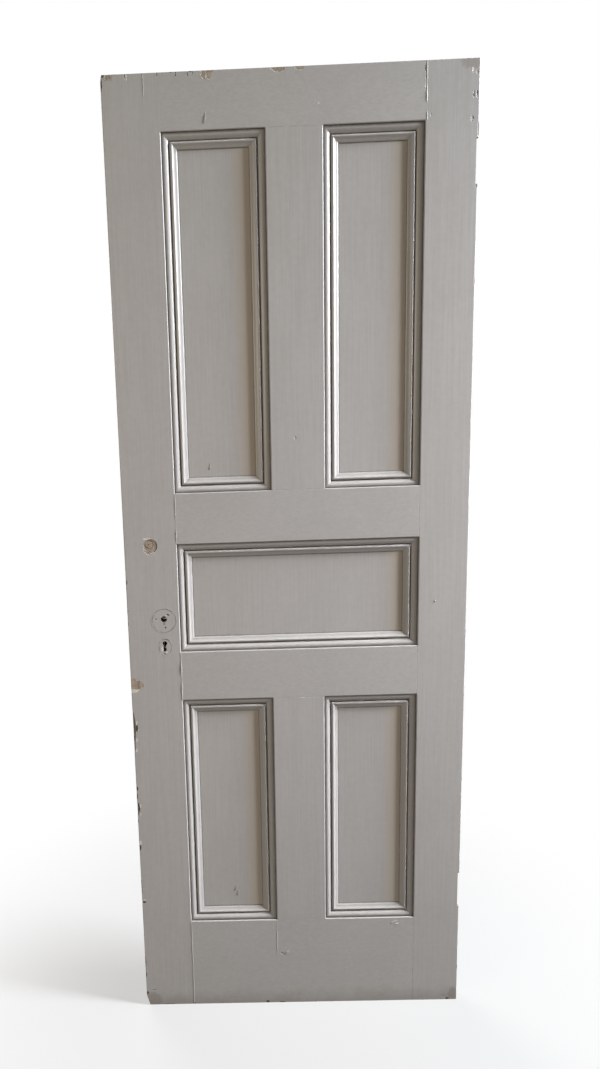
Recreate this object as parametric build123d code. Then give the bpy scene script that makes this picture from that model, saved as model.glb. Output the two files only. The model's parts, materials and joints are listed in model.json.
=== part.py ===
from build123d import *
import os

# A five-panel timber door leaf: two tall panels over a wide one over two more.
# Millimetres. X runs from the lock edge to the hinge edge, Y from the front face to the back, Z up.
# The origin is under the middle of the leaf, half way through its thickness.

# Leaf, measured over its outside
LEAF_WIDTH = 711.2
LEAF_HEIGHT = 1981.2
LEAF_THICKNESS = 35.0

# Faces of the frame's members
LOCK_STILE_WIDTH = 110.0
HINGE_STILE_WIDTH = 101.0
TOP_RAIL_WIDTH = 104.0
FRIEZE_RAIL_WIDTH = 107.0
LOCK_RAIL_WIDTH = 108.5
BOTTOM_RAIL_WIDTH = 211.7
MUNTIN_WIDTH = 110.0
UPPER_MUNTIN_SHIFT = 3.0
LOWER_MUNTIN_SHIFT = -1.5

# Clear heights of the two lower tiers of panels; the upper tier takes what is left
MIDDLE_OPENING_HEIGHT = 232.0
LOWER_OPENING_HEIGHT = 528.0

# Edges of the frame: worn round at the openings, eased along the stiles' outer edges
ARRIS_RADIUS = 2.0
OUTER_EDGE_RADIUS = 1.5

# Panels, and the groove ploughed for them in every member
PANEL_THICKNESS = 13.0
PANEL_CLEARANCE = 0.1
PANEL_END_GAP = 0.8
GROOVE_DEPTH = 11.0

# Joints of the frame: tenons run through the stiles and are wedged, muntins have stub tenons
TOP_HAUNCH_WIDTH = 30.0
BOTTOM_HAUNCH_WIDTH = 36.0
BOTTOM_TENON_SPACING = 40.0
MUNTIN_TENON_LENGTH = 32.0
WEDGE_LENGTH = 38.0
WEDGE_BUTT = 6.0
WEDGE_TIP = 1.2

# Mouldings planted round each panel, on both faces of the leaf
MOULDING_WIDTH = 30.0
MOULDING_DROP = 3.0
MOULDING_CLEARANCE = 0.1
MITRE_CLEARANCE = 0.1

# The moulding's section from the frame inwards, as shares of its width and of its height
FILLET_END_SHARES = (0.155, 1.00)
OVOLO_END_SHARES = (0.42, 0.44)
QUIRK_START_SHARES = (0.44, 0.30)
QUIRK_END_SHARES = (0.49, 0.30)
BEAD_CREST_SHARES = (0.605, 0.70)
BEAD_END_SHARES = (0.67, 0.64)
OGEE_MIDDLE_SHARES = (0.83, 0.34)
OGEE_END_SHARES = (1.00, 0.07)

# How far each curve of the section bows from its chord, as shares of the moulding's height
OVOLO_BOW_SHARE = 0.06
COVE_BOW_SHARE = -0.045
OGEE_BOW_SHARE = 0.055

# Square cut brads that hold each moulding to the frame
BRAD_SIZE = 1.6
BRAD_LENGTH = 27.0
BRAD_END_MARGIN = 55.0
BRAD_SPACING = 230.0
BRAD_HEIGHT_SHARE = 0.45
BRAD_REACH_SHARE = 0.27

# Mortise for a lock in the lock stile, with the rebate for its face plate
BACKSET = 76.5
SPINDLE_ABOVE_LOCK_RAIL = 72.8
SPINDLE_BORE_RADIUS = 6.6
LOCK_CASE_BEYOND_SPINDLE = 13.0
LOCK_CASE_THICKNESS = 16.0
LOCK_CASE_ABOVE_SPINDLE = 30.0
LOCK_CASE_BELOW_SPINDLE = 76.5
FACE_PLATE_THICKNESS = 3.0
FACE_PLATE_WIDTH = 22.0
FACE_PLATE_HEIGHT = 152.0
FACE_PLATE_SCREW_SPACING = 138.0
FACE_PLATE_SCREW_RADIUS = 1.6
FACE_PLATE_SCREW_DEPTH = 22.0

# Keyhole: a round eye with a slot below it
KEYHOLE_BELOW_SPINDLE = 53.0
KEYHOLE_EYE_RADIUS = 5.0
KEYHOLE_SLOT_WIDTH = 6.0
KEYHOLE_HEIGHT = 22.6

# Pin holes left by the knob's rose and the key plate
ROSE_RADIUS = 25.0
ROSE_PIN_SHARES = ((-0.70, 0.02), (0.37, 0.36), (0.10, -0.74))
KEY_PLATE_PIN_BELOW_SPINDLE = 76.0
PIN_HOLE_RADIUS = 1.0
PIN_HOLE_DEPTH = 7.0

# Round plug that fills an older hole through the lock stile
PLUG_RADIUS = 14.5
PLUG_INSET = 55.0
PLUG_ABOVE_SPINDLE = 158.0
PLUG_CLEARANCE = 0.15
PLUG_RECESS = 0.8

# Gains for two butt hinges, open at the front face
HINGE_HEIGHT = 82.5
HINGE_LEAF_WIDTH = 27.0
HINGE_GAIN_DEPTH = 4.0
UPPER_HINGE_BELOW_TOP = 137.8
LOWER_HINGE_ABOVE_BOTTOM = 235.3
HINGE_SCREW_SPACING = 58.0
HINGE_SCREW_RADIUS = 1.8
HINGE_SCREW_DEPTH = 25.0
HINGE_OUTER_SCREW_INSET = 10.0
HINGE_MIDDLE_SCREW_INSET = 19.0

# Corners broken off the lock stile
BOTTOM_CORNER_LOSS_WIDTH = 7.0
BOTTOM_CORNER_LOSS_HEIGHT = 25.0
TOP_CORNER_LOSS_WIDTH = 2.5
TOP_CORNER_LOSS_HEIGHT = 13.0

# Splinters broken off the front arris of the lock edge: middle and length as shares of the leaf's height,
# and width on the face as a share of the leaf's thickness
SPLINTER_SHARES = (
    (0.3395, 0.0487, 0.175),
    (0.2716, 0.0068, 0.100),
    (0.2461, 0.0151, 0.190),
    (0.1992, 0.0086, 0.100),
    (0.1325, 0.0028, 0.235),
    (0.0505, 0.0288, 0.070),
)
# A splinter's outline on the face, from the edge inwards, as shares of its width and of its length
SPLINTER_OUTLINE_SHARES = ((0, 0), (0.50, 0.04), (0.55, 0.28), (1, 0.50), (0.90, 0.75), (0.50, 0.91), (0, 1))
# How far a splinter reaches round onto the edge, as a share of its width
SPLINTER_DEPTH_SHARE = 0.7

# How far a cut runs past the faces that it opens
CUT_OVERRUN = 5.0

# Lines of the layout
LOCK_EDGE = -LEAF_WIDTH / 2
HINGE_EDGE = LEAF_WIDTH / 2
FRONT_FACE = -LEAF_THICKNESS / 2
LOCK_STILE_INNER = LOCK_EDGE + LOCK_STILE_WIDTH
HINGE_STILE_INNER = HINGE_EDGE - HINGE_STILE_WIDTH
OPENINGS_MIDDLE = (LOCK_STILE_INNER + HINGE_STILE_INNER) / 2
LOWER_OPENING_TOP = BOTTOM_RAIL_WIDTH + LOWER_OPENING_HEIGHT
LOCK_RAIL_TOP = LOWER_OPENING_TOP + LOCK_RAIL_WIDTH
MIDDLE_OPENING_TOP = LOCK_RAIL_TOP + MIDDLE_OPENING_HEIGHT
FRIEZE_RAIL_TOP = MIDDLE_OPENING_TOP + FRIEZE_RAIL_WIDTH
TOP_RAIL_BOTTOM = LEAF_HEIGHT - TOP_RAIL_WIDTH

GROOVE_WIDTH = PANEL_THICKNESS + 2 * PANEL_CLEARANCE
PANEL_RECESS = (LEAF_THICKNESS - PANEL_THICKNESS) / 2
MOULDING_HEIGHT = PANEL_RECESS - MOULDING_DROP - MOULDING_CLEARANCE

SPINDLE_X = LOCK_EDGE + BACKSET
SPINDLE_Z = LOCK_RAIL_TOP + SPINDLE_ABOVE_LOCK_RAIL
PLUG_Z = SPINDLE_Z + PLUG_ABOVE_SPINDLE

# Each rail: its lower and upper edges, and the spans of its tenons
BOTTOM_TENON_LOW = BOTTOM_HAUNCH_WIDTH
BOTTOM_TENON_HIGH = BOTTOM_RAIL_WIDTH - GROOVE_DEPTH
BOTTOM_TENON_WIDTH = (BOTTOM_TENON_HIGH - BOTTOM_TENON_LOW - BOTTOM_TENON_SPACING) / 2
RAILS = {
    "top_rail": (TOP_RAIL_BOTTOM, LEAF_HEIGHT,
                 [(TOP_RAIL_BOTTOM + GROOVE_DEPTH, LEAF_HEIGHT - TOP_HAUNCH_WIDTH)]),
    "frieze_rail": (MIDDLE_OPENING_TOP, FRIEZE_RAIL_TOP,
                    [(MIDDLE_OPENING_TOP + GROOVE_DEPTH, FRIEZE_RAIL_TOP - GROOVE_DEPTH)]),
    "lock_rail": (LOWER_OPENING_TOP, LOCK_RAIL_TOP,
                  [(LOWER_OPENING_TOP + GROOVE_DEPTH, LOCK_RAIL_TOP - GROOVE_DEPTH)]),
    "bottom_rail": (0, BOTTOM_RAIL_WIDTH,
                    [(BOTTOM_TENON_LOW, BOTTOM_TENON_LOW + BOTTOM_TENON_WIDTH),
                     (BOTTOM_TENON_HIGH - BOTTOM_TENON_WIDTH, BOTTOM_TENON_HIGH)]),
}

# Each muntin: its middle, and the rails' edges that it stands between
MUNTINS = {
    "upper_muntin": (OPENINGS_MIDDLE + UPPER_MUNTIN_SHIFT, FRIEZE_RAIL_TOP, TOP_RAIL_BOTTOM),
    "lower_muntin": (OPENINGS_MIDDLE + LOWER_MUNTIN_SHIFT, BOTTOM_RAIL_WIDTH, LOWER_OPENING_TOP),
}


def tier(name, low, high):
    """The two openings beside a muntin, as left, right, bottom and top edges."""
    middle = MUNTINS[name + "_muntin"][0]
    return {
        name + "_left": (LOCK_STILE_INNER, middle - MUNTIN_WIDTH / 2, low, high),
        name + "_right": (middle + MUNTIN_WIDTH / 2, HINGE_STILE_INNER, low, high),
    }


OPENINGS = {
    **tier("upper", FRIEZE_RAIL_TOP, TOP_RAIL_BOTTOM),
    "middle": (LOCK_STILE_INNER, HINGE_STILE_INNER, LOCK_RAIL_TOP, MIDDLE_OPENING_TOP),
    **tier("lower", BOTTOM_RAIL_WIDTH, LOWER_OPENING_TOP),
}


def block(x0, x1, y0, y1, z0, z1):
    """A square-edged block between two opposite corners."""
    return Pos(x0, y0, z0) * Box(x1 - x0, y1 - y0, z1 - z0, align=(Align.MIN, Align.MIN, Align.MIN))


def board(x0, x1, z0, z1, thickness=LEAF_THICKNESS):
    """A board that lies in the leaf, centred in its thickness."""
    return block(x0, x1, -thickness / 2, thickness / 2, z0, z1)


def prism(points, thickness):
    """A block with an outline drawn in the plane of the leaf, centred in its thickness."""
    corners = [(x, 0, z) for x, z in points]
    return extrude(make_face(Polyline(*corners, close=True)), amount=thickness / 2, both=True)


def bore_through(x, z, radius, y0, y1):
    """A round hole square to the leaf's face, between two depths."""
    return Pos(x, (y0 + y1) / 2, z) * Rot(90, 0, 0) * Cylinder(radius, y1 - y0)


def bore_into_edge(x0, x1, y, z, radius):
    """A round hole square to the leaf's edge, between two places across the leaf."""
    return Pos((x0 + x1) / 2, y, z) * Rot(0, 90, 0) * Cylinder(radius, x1 - x0)


# Frame joints

def rail_tenons(name, past_edge=0):
    """A rail's tongue, which fills the stiles' grooves, with the tenons that run on through the stiles."""
    low, high, spans = RAILS[name]
    tongue_low = low if name == "bottom_rail" else low + GROOVE_DEPTH
    tongue_high = high if name == "top_rail" else high - GROOVE_DEPTH
    tongue = board(LOCK_STILE_INNER - GROOVE_DEPTH, HINGE_STILE_INNER + GROOVE_DEPTH,
                   tongue_low, tongue_high, GROOVE_WIDTH)
    tenons = [board(LOCK_EDGE - past_edge, HINGE_EDGE + past_edge, z0, z1, GROOVE_WIDTH) for z0, z1 in spans]
    return tongue + tenons


def muntin_tenons(name):
    """A muntin's stub tenons, as one bar that runs from rail to rail."""
    middle, low, high = MUNTINS[name]
    half = MUNTIN_WIDTH / 2 - GROOVE_DEPTH
    return board(middle - half, middle + half,
                 low - MUNTIN_TENON_LENGTH, high + MUNTIN_TENON_LENGTH, GROOVE_WIDTH)


def tenon_wedges():
    """Two wedges for each tenon's end, above and below it, driven in from the leaf's edges."""
    wedges = []
    for _, _, spans in RAILS.values():
        for low, high in spans:
            for edge, inward in ((LOCK_EDGE, 1), (HINGE_EDGE, -1)):
                for side, upward in ((low, -1), (high, 1)):
                    point = edge + inward * WEDGE_LENGTH
                    wedges.append(prism([(edge, side), (edge, side + upward * WEDGE_BUTT),
                                         (point, side + upward * WEDGE_TIP), (point, side)], GROOVE_WIDTH))
    return wedges


def arris_cut(length):
    """What wear takes off a square edge of the given length: the corner outside a quarter round.

    The edge lies on X, the opening on the +Y side and the face on the +Z side.
    """
    corner = (0, 0)
    inner = (-ARRIS_RADIUS, 0)
    outer = (0, -ARRIS_RADIUS)
    round_edge = RadiusArc(outer, inner, -ARRIS_RADIUS)
    section = make_face([Line(inner, corner), Line(corner, outer), round_edge.edge()])
    return extrude(Plane.YZ * section, amount=length / 2, both=True)


def opening_sides(name):
    """The four sides of an opening: name, middle of the side, direction inwards, and length."""
    x0, x1, z0, z1 = OPENINGS[name]
    x_mid, z_mid = (x0 + x1) / 2, (z0 + z1) / 2
    return [
        ("left", (x0, z_mid), (1, 0, 0), z1 - z0),
        ("right", (x1, z_mid), (-1, 0, 0), z1 - z0),
        ("bottom", (x_mid, z0), (0, 0, 1), x1 - x0),
        ("top", (x_mid, z1), (0, 0, -1), x1 - x0),
    ]


def side_place(middle, inward, facing, below_face):
    """A place on one side of an opening: X along it, Y inwards and Z out of the face.

    facing is -1 at the front and 1 at the back, and below_face is measured from that face.
    """
    outward = Vector(0, facing, 0)
    origin = Vector(middle[0], facing * (LEAF_THICKNESS / 2 - below_face), middle[1])
    along = Vector(*inward).cross(outward)
    return Plane(origin=origin, x_dir=along, z_dir=outward).location


# Mouldings

def section_point(shares):
    """A point of the moulding's section, from its shares of the width and of the height."""
    return (MOULDING_CLEARANCE + shares[0] * MOULDING_WIDTH, MOULDING_CLEARANCE + shares[1] * MOULDING_HEIGHT)


def moulding_section():
    """Fillet, ovolo, quirk, bead and ogee, drawn with the frame at the left and the panel below."""
    foot = section_point((0, 0))
    top = section_point((0, 1))
    fillet_end = section_point(FILLET_END_SHARES)
    ovolo_end = section_point(OVOLO_END_SHARES)
    quirk_start = section_point(QUIRK_START_SHARES)
    quirk_end = section_point(QUIRK_END_SHARES)
    bead_crest = section_point(BEAD_CREST_SHARES)
    bead_end = section_point(BEAD_END_SHARES)
    ogee_middle = section_point(OGEE_MIDDLE_SHARES)
    ogee_end = section_point(OGEE_END_SHARES)
    toe = section_point((1, 0))
    outline = [
        Line(foot, top),
        Line(top, fillet_end),
        SagittaArc(fillet_end, ovolo_end, OVOLO_BOW_SHARE * MOULDING_HEIGHT),
        Line(ovolo_end, quirk_start),
        Line(quirk_start, quirk_end),
        ThreePointArc(quirk_end, bead_crest, bead_end),
        SagittaArc(bead_end, ogee_middle, COVE_BOW_SHARE * MOULDING_HEIGHT),
        SagittaArc(ogee_middle, ogee_end, OGEE_BOW_SHARE * MOULDING_HEIGHT),
        Line(ogee_end, toe),
        Line(toe, foot),
    ]
    return Plane.YZ * make_face([line.edge() for line in outline])


def brad_places(length):
    """Where the brads stand along a strip of the given length."""
    span = length - 2 * BRAD_END_MARGIN
    gaps = max(1, round(span / BRAD_SPACING))
    return [span * (step / gaps - 1 / 2) for step in range(gaps + 1)]


def strip_brads(length):
    """One strip's brads, driven level through the moulding into the edge of the frame."""
    reach = BRAD_REACH_SHARE * MOULDING_WIDTH
    height = MOULDING_CLEARANCE + BRAD_HEIGHT_SHARE * MOULDING_HEIGHT
    return [block(x - BRAD_SIZE / 2, x + BRAD_SIZE / 2, reach - BRAD_LENGTH, reach,
                  height - BRAD_SIZE / 2, height + BRAD_SIZE / 2) for x in brad_places(length)]


def moulding_strip(length):
    """One strip with mitred ends, its outer edge along X and the panel at Z = 0."""
    end = length / 2 - MITRE_CLEARANCE
    strip = extrude(moulding_section(), amount=length / 2, both=True)
    strip = split(strip, Plane(origin=(-end, 0, 0), z_dir=(1, -1, 0)), keep=Keep.TOP)
    strip = split(strip, Plane(origin=(end, 0, 0), z_dir=(-1, -1, 0)), keep=Keep.TOP)
    return strip - strip_brads(length)


# Cuts made in the finished frame

def lock_cuts():
    """Mortise, face plate rebate, spindle bore, keyhole and pin holes in the lock stile."""
    back_face = -FRONT_FACE
    case_top = SPINDLE_Z + LOCK_CASE_ABOVE_SPINDLE
    case_bottom = SPINDLE_Z - LOCK_CASE_BELOW_SPINDLE
    plate_middle = (case_top + case_bottom) / 2
    rebate_floor = LOCK_EDGE + FACE_PLATE_THICKNESS
    eye_z = SPINDLE_Z - KEYHOLE_BELOW_SPINDLE
    slot_bottom = eye_z + KEYHOLE_EYE_RADIUS - KEYHOLE_HEIGHT
    through = (FRONT_FACE - CUT_OVERRUN, back_face + CUT_OVERRUN)
    cuts = [
        block(LOCK_EDGE - CUT_OVERRUN, SPINDLE_X + LOCK_CASE_BEYOND_SPINDLE,
              -LOCK_CASE_THICKNESS / 2, LOCK_CASE_THICKNESS / 2, case_bottom, case_top),
        block(LOCK_EDGE - CUT_OVERRUN, rebate_floor, -FACE_PLATE_WIDTH / 2, FACE_PLATE_WIDTH / 2,
              plate_middle - FACE_PLATE_HEIGHT / 2, plate_middle + FACE_PLATE_HEIGHT / 2),
        bore_through(SPINDLE_X, SPINDLE_Z, SPINDLE_BORE_RADIUS, *through),
        bore_through(SPINDLE_X, eye_z, KEYHOLE_EYE_RADIUS, *through),
        block(SPINDLE_X - KEYHOLE_SLOT_WIDTH / 2, SPINDLE_X + KEYHOLE_SLOT_WIDTH / 2, *through, slot_bottom, eye_z),
    ]
    for side in (-1, 1):
        screw_z = plate_middle + side * FACE_PLATE_SCREW_SPACING / 2
        cuts.append(bore_into_edge(LOCK_EDGE - CUT_OVERRUN, rebate_floor + FACE_PLATE_SCREW_DEPTH,
                                   0, screw_z, FACE_PLATE_SCREW_RADIUS))
    pins = [(SPINDLE_X + x * ROSE_RADIUS, SPINDLE_Z + z * ROSE_RADIUS) for x, z in ROSE_PIN_SHARES]
    pins.append((SPINDLE_X, SPINDLE_Z - KEY_PLATE_PIN_BELOW_SPINDLE))
    for x, z in pins:
        cuts.append(bore_through(x, z, PIN_HOLE_RADIUS, FRONT_FACE - CUT_OVERRUN, FRONT_FACE + PIN_HOLE_DEPTH))
    return cuts


def plug_hole():
    """The older hole through the lock stile."""
    return bore_through(LOCK_EDGE + PLUG_INSET, PLUG_Z, PLUG_RADIUS + PLUG_CLEARANCE,
                        FRONT_FACE - CUT_OVERRUN, CUT_OVERRUN - FRONT_FACE)


def hinge_cuts():
    """Two gains in the hinge edge, open at the front face, each with three screw holes."""
    gain_floor = HINGE_EDGE - HINGE_GAIN_DEPTH
    upper_middle = LEAF_HEIGHT - UPPER_HINGE_BELOW_TOP - HINGE_HEIGHT / 2
    lower_middle = LOWER_HINGE_ABOVE_BOTTOM + HINGE_HEIGHT / 2
    cuts = []
    for middle in (upper_middle, lower_middle):
        cuts.append(block(gain_floor, HINGE_EDGE + CUT_OVERRUN,
                          FRONT_FACE - CUT_OVERRUN, FRONT_FACE + HINGE_LEAF_WIDTH,
                          middle - HINGE_HEIGHT / 2, middle + HINGE_HEIGHT / 2))
        screws = [(HINGE_OUTER_SCREW_INSET, -HINGE_SCREW_SPACING / 2), (HINGE_MIDDLE_SCREW_INSET, 0),
                  (HINGE_OUTER_SCREW_INSET, HINGE_SCREW_SPACING / 2)]
        for inset, rise in screws:
            cuts.append(bore_into_edge(gain_floor - HINGE_SCREW_DEPTH, HINGE_EDGE + CUT_OVERRUN,
                                       FRONT_FACE + inset, middle + rise, HINGE_SCREW_RADIUS))
    return cuts


def corner_loss(z, upward, width, height):
    """The wedge of wood that is missing at one end of the lock stile."""
    past_edge = LOCK_EDGE - CUT_OVERRUN
    past_end = z - upward * CUT_OVERRUN
    return prism([(past_edge, past_end), (LOCK_EDGE + width, past_end), (LOCK_EDGE + width, z),
                  (LOCK_EDGE, z + upward * height), (past_edge, z + upward * height)],
                 LEAF_THICKNESS + 2 * CUT_OVERRUN)


def splinter_loss(middle, length, width):
    """One length of the lock edge's front arris that splintered off, slanting from the face to the edge."""
    low = middle - length / 2
    depth = SPLINTER_DEPTH_SHARE * width
    past_edge = LOCK_EDGE - CUT_OVERRUN
    past_face = FRONT_FACE - CUT_OVERRUN
    slant_start = (LOCK_EDGE + width * (1 + CUT_OVERRUN / depth), past_face, low)
    slant_end = (past_edge, FRONT_FACE + depth * (1 + CUT_OVERRUN / width), low)
    section = make_face(Polyline((past_edge, past_face, low), slant_start, slant_end, close=True))
    outline = [(LOCK_EDGE + across * width, low + along * length) for across, along in SPLINTER_OUTLINE_SHARES]
    on_face = prism([(past_edge, low), *outline, (past_edge, low + length)], LEAF_THICKNESS + 2 * CUT_OVERRUN)
    return extrude(section, amount=length, dir=(0, 0, 1)) & on_face


def splinter_losses():
    """Every splinter that is missing from the lock edge."""
    return [splinter_loss(middle * LEAF_HEIGHT, length * LEAF_HEIGHT, width * LEAF_THICKNESS)
            for middle, length, width in SPLINTER_SHARES]


# Members of the frame

def stile(x0, x1, inner, outer_edge, inward):
    """A stile with its outer edges eased, grooved for the panels and mortised for the rails."""
    blank = board(x0, x1, 0, LEAF_HEIGHT)
    outer_edges = blank.edges().filter_by(Axis.Z).filter_by_position(Axis.X, outer_edge, outer_edge)
    blank = fillet(outer_edges, OUTER_EDGE_RADIUS)
    groove_floor = inner - inward * GROOVE_DEPTH
    open_side = inner + inward * CUT_OVERRUN
    groove = board(min(groove_floor, open_side), max(groove_floor, open_side),
                   -CUT_OVERRUN, LEAF_HEIGHT + CUT_OVERRUN, GROOVE_WIDTH)
    return blank - groove - [rail_tenons(name, CUT_OVERRUN) for name in RAILS]


def rail(name):
    """A rail between the stiles' shoulders, grooved where panels meet it, with its tenons."""
    low, high, _ = RAILS[name]
    body = board(LOCK_STILE_INNER, HINGE_STILE_INNER, low, high)
    ends = (LOCK_STILE_INNER - CUT_OVERRUN, HINGE_STILE_INNER + CUT_OVERRUN)
    if name != "bottom_rail":
        body -= board(*ends, low - CUT_OVERRUN, low + GROOVE_DEPTH, GROOVE_WIDTH)
    if name != "top_rail":
        body -= board(*ends, high - GROOVE_DEPTH, high + CUT_OVERRUN, GROOVE_WIDTH)
    return body + rail_tenons(name) - [muntin_tenons(muntin_name) for muntin_name in MUNTINS]


def muntin(name):
    """A muntin with a groove in each edge and a stub tenon at each end."""
    middle, low, high = MUNTINS[name]
    half = MUNTIN_WIDTH / 2
    core = half - GROOVE_DEPTH
    body = board(middle - half, middle + half, low, high)
    for x0, x1 in ((-half - CUT_OVERRUN, -core), (core, half + CUT_OVERRUN)):
        body -= board(middle + x0, middle + x1, low - CUT_OVERRUN, high + CUT_OVERRUN, GROOVE_WIDTH)
    return body + muntin_tenons(name)


def panel(name):
    """A flat panel that runs into the grooves on all four sides, with room to move."""
    x0, x1, z0, z1 = OPENINGS[name]
    reach = GROOVE_DEPTH - PANEL_END_GAP
    return board(x0 - reach, x1 + reach, z0 - reach, z1 + reach, PANEL_THICKNESS)


def latch_hole_plug():
    """The plug in the older hole, set a little below both faces."""
    return bore_through(LOCK_EDGE + PLUG_INSET, PLUG_Z, PLUG_RADIUS,
                        FRONT_FACE + PLUG_RECESS, -FRONT_FACE - PLUG_RECESS)


def touches(cut, member):
    """Whether a cut's box reaches into a member's box."""
    a, b = cut.bounding_box(), member.bounding_box()
    return all(low_a < high_b and low_b < high_a for low_a, high_a, low_b, high_b in zip(
        a.min, a.max, b.min, b.max))


def build():
    """Every piece of the leaf by name."""
    parts = {
        "lock_stile": stile(LOCK_EDGE, LOCK_STILE_INNER, LOCK_STILE_INNER, LOCK_EDGE, 1),
        "hinge_stile": stile(HINGE_STILE_INNER, HINGE_EDGE, HINGE_STILE_INNER, HINGE_EDGE, -1),
    }
    for name in RAILS:
        parts[name] = rail(name)
    for name in MUNTINS:
        parts[name] = muntin(name)
    frame_names = list(parts)

    wedges = tenon_wedges()
    for name in ("lock_stile", "hinge_stile"):
        parts[name] -= [wedge for wedge in wedges if touches(wedge, parts[name])]

    cuts = lock_cuts() + hinge_cuts() + [plug_hole()] + splinter_losses()
    cuts.append(corner_loss(0, 1, BOTTOM_CORNER_LOSS_WIDTH, BOTTOM_CORNER_LOSS_HEIGHT))
    cuts.append(corner_loss(LEAF_HEIGHT, -1, TOP_CORNER_LOSS_WIDTH, TOP_CORNER_LOSS_HEIGHT))

    strips, brads = {}, []
    for opening in OPENINGS:
        for side, middle, inward, length in opening_sides(opening):
            strip = moulding_strip(length)
            for face, facing in (("front", -1), ("back", 1)):
                strips[f"{opening}_{side}_moulding_{face}"] = (
                    side_place(middle, inward, facing, PANEL_RECESS) * strip)
                brads += [side_place(middle, inward, facing, PANEL_RECESS) * brad
                          for brad in strip_brads(length)]
                cuts.append(side_place(middle, inward, facing, 0) * arris_cut(length))

    for name in frame_names:
        tools = [cut for cut in cuts + brads if touches(cut, parts[name])]
        parts[name] -= tools
    wedges = [wedge - [cut for cut in cuts if touches(cut, wedge)] for wedge in wedges]

    for opening in OPENINGS:
        parts[opening + "_panel"] = panel(opening)
    parts.update(strips)
    parts["tenon_wedges"] = Compound([solid for wedge in wedges for solid in wedge.solids()])
    parts["latch_hole_plug"] = latch_hole_plug()
    parts["moulding_brads"] = Compound([solid for brad in brads for solid in brad.solids()])
    return parts


os.makedirs("parts", exist_ok=True)
for part_name, shape in build().items():
    export_step(shape, f"parts/{part_name}.step")
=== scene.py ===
"""Dresses a five-panel timber door leaf: old satin paint, planted mouldings, wear, marks of lost hardware, stage."""

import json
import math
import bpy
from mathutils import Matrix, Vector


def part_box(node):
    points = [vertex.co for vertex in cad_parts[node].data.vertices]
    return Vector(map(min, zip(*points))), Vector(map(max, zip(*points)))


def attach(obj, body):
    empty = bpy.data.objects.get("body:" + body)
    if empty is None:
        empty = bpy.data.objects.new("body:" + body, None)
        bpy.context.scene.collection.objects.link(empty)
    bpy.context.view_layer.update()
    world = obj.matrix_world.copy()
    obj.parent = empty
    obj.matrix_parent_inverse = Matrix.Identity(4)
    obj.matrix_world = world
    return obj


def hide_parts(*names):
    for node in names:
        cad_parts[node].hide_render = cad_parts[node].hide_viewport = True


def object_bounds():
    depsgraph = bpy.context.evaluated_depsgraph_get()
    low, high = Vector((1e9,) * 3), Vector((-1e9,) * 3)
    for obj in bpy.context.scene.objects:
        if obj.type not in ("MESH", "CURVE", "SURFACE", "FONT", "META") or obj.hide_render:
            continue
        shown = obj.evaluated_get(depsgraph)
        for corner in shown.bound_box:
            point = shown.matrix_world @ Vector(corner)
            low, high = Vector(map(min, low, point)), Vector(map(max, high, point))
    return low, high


bl_info = {
    "name": "Panelled Door Leaf",
    "version": (1, 0, 0),
    "blender": (4, 5, 0),
    "location": "3D View > Sidebar > Door Leaf",
    "description": "Paints and wears the packed door leaf, plants its mouldings and sets the stage",
    "category": "Object",
}

import bmesh
import bpy
from bpy.props import FloatProperty, FloatVectorProperty, PointerProperty
from mathutils import Euler, Matrix, Vector, noise

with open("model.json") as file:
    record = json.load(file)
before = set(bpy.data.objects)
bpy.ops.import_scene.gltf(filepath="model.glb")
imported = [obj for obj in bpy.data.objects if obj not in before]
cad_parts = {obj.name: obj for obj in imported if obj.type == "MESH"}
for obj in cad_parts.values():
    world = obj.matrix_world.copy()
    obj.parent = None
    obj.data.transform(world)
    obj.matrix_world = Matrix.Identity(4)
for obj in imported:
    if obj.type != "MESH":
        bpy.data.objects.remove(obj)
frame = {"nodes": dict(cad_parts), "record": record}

MM = 0.001
CAD_LOW, CAD_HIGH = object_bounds()

# Layout of the leaf, read from the frame: X from the lock edge to the hinge edge, Y to the back, Z up
LEAF_CENTRE = (CAD_LOW + CAD_HIGH) / 2
LEAF_HALF = (CAD_HIGH - CAD_LOW) / 2
LOCK_EDGE, FRONT, LEAF_FOOT = CAD_LOW
_, BACK, LEAF_TOP = CAD_HIGH
RAIL_NAMES = ("top_rail", "frieze_rail", "lock_rail", "bottom_rail")
STILE_NAMES = ("lock_stile", "hinge_stile")
MUNTIN_NAMES = ("upper_muntin", "lower_muntin")
OPENING_NAMES = ("upper_left", "upper_right", "middle", "lower_left", "lower_right")
SIDES = {"left": Vector((1, 0, 0)), "right": Vector((-1, 0, 0)), "bottom": Vector((0, 0, 1)),
         "top": Vector((0, 0, -1))}
FACES = {"front": Vector((0, -1, 0)), "back": Vector((0, 1, 0))}
LOCK_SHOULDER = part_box("lock_stile")[1].x
HINGE_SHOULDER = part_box("hinge_stile")[0].x
MOUNTS = {mount["name"]: mount for mount in frame["record"]["mounts"]}
OPENINGS = {opening["name"]: opening["box_m"] for opening in frame["record"]["physics"]["openings"]}
SPINDLE = Vector(MOUNTS["spindle_bore"]["pos_m"])
SPINDLE_RADIUS = MOUNTS["spindle_bore"]["dims"]["r_mm"] * MM

# Brush strokes run along each piece: how often they repeat in a metre across and along it
STROKES_ACROSS = 430.0
STROKES_ALONG = 7.0
LEVEL_STROKES_ALONG = 140.0
UPRIGHT = (STROKES_ACROSS, STROKES_ACROSS, STROKES_ALONG)
LEVEL = (LEVEL_STROKES_ALONG, STROKES_ACROSS, STROKES_ACROSS)

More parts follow.
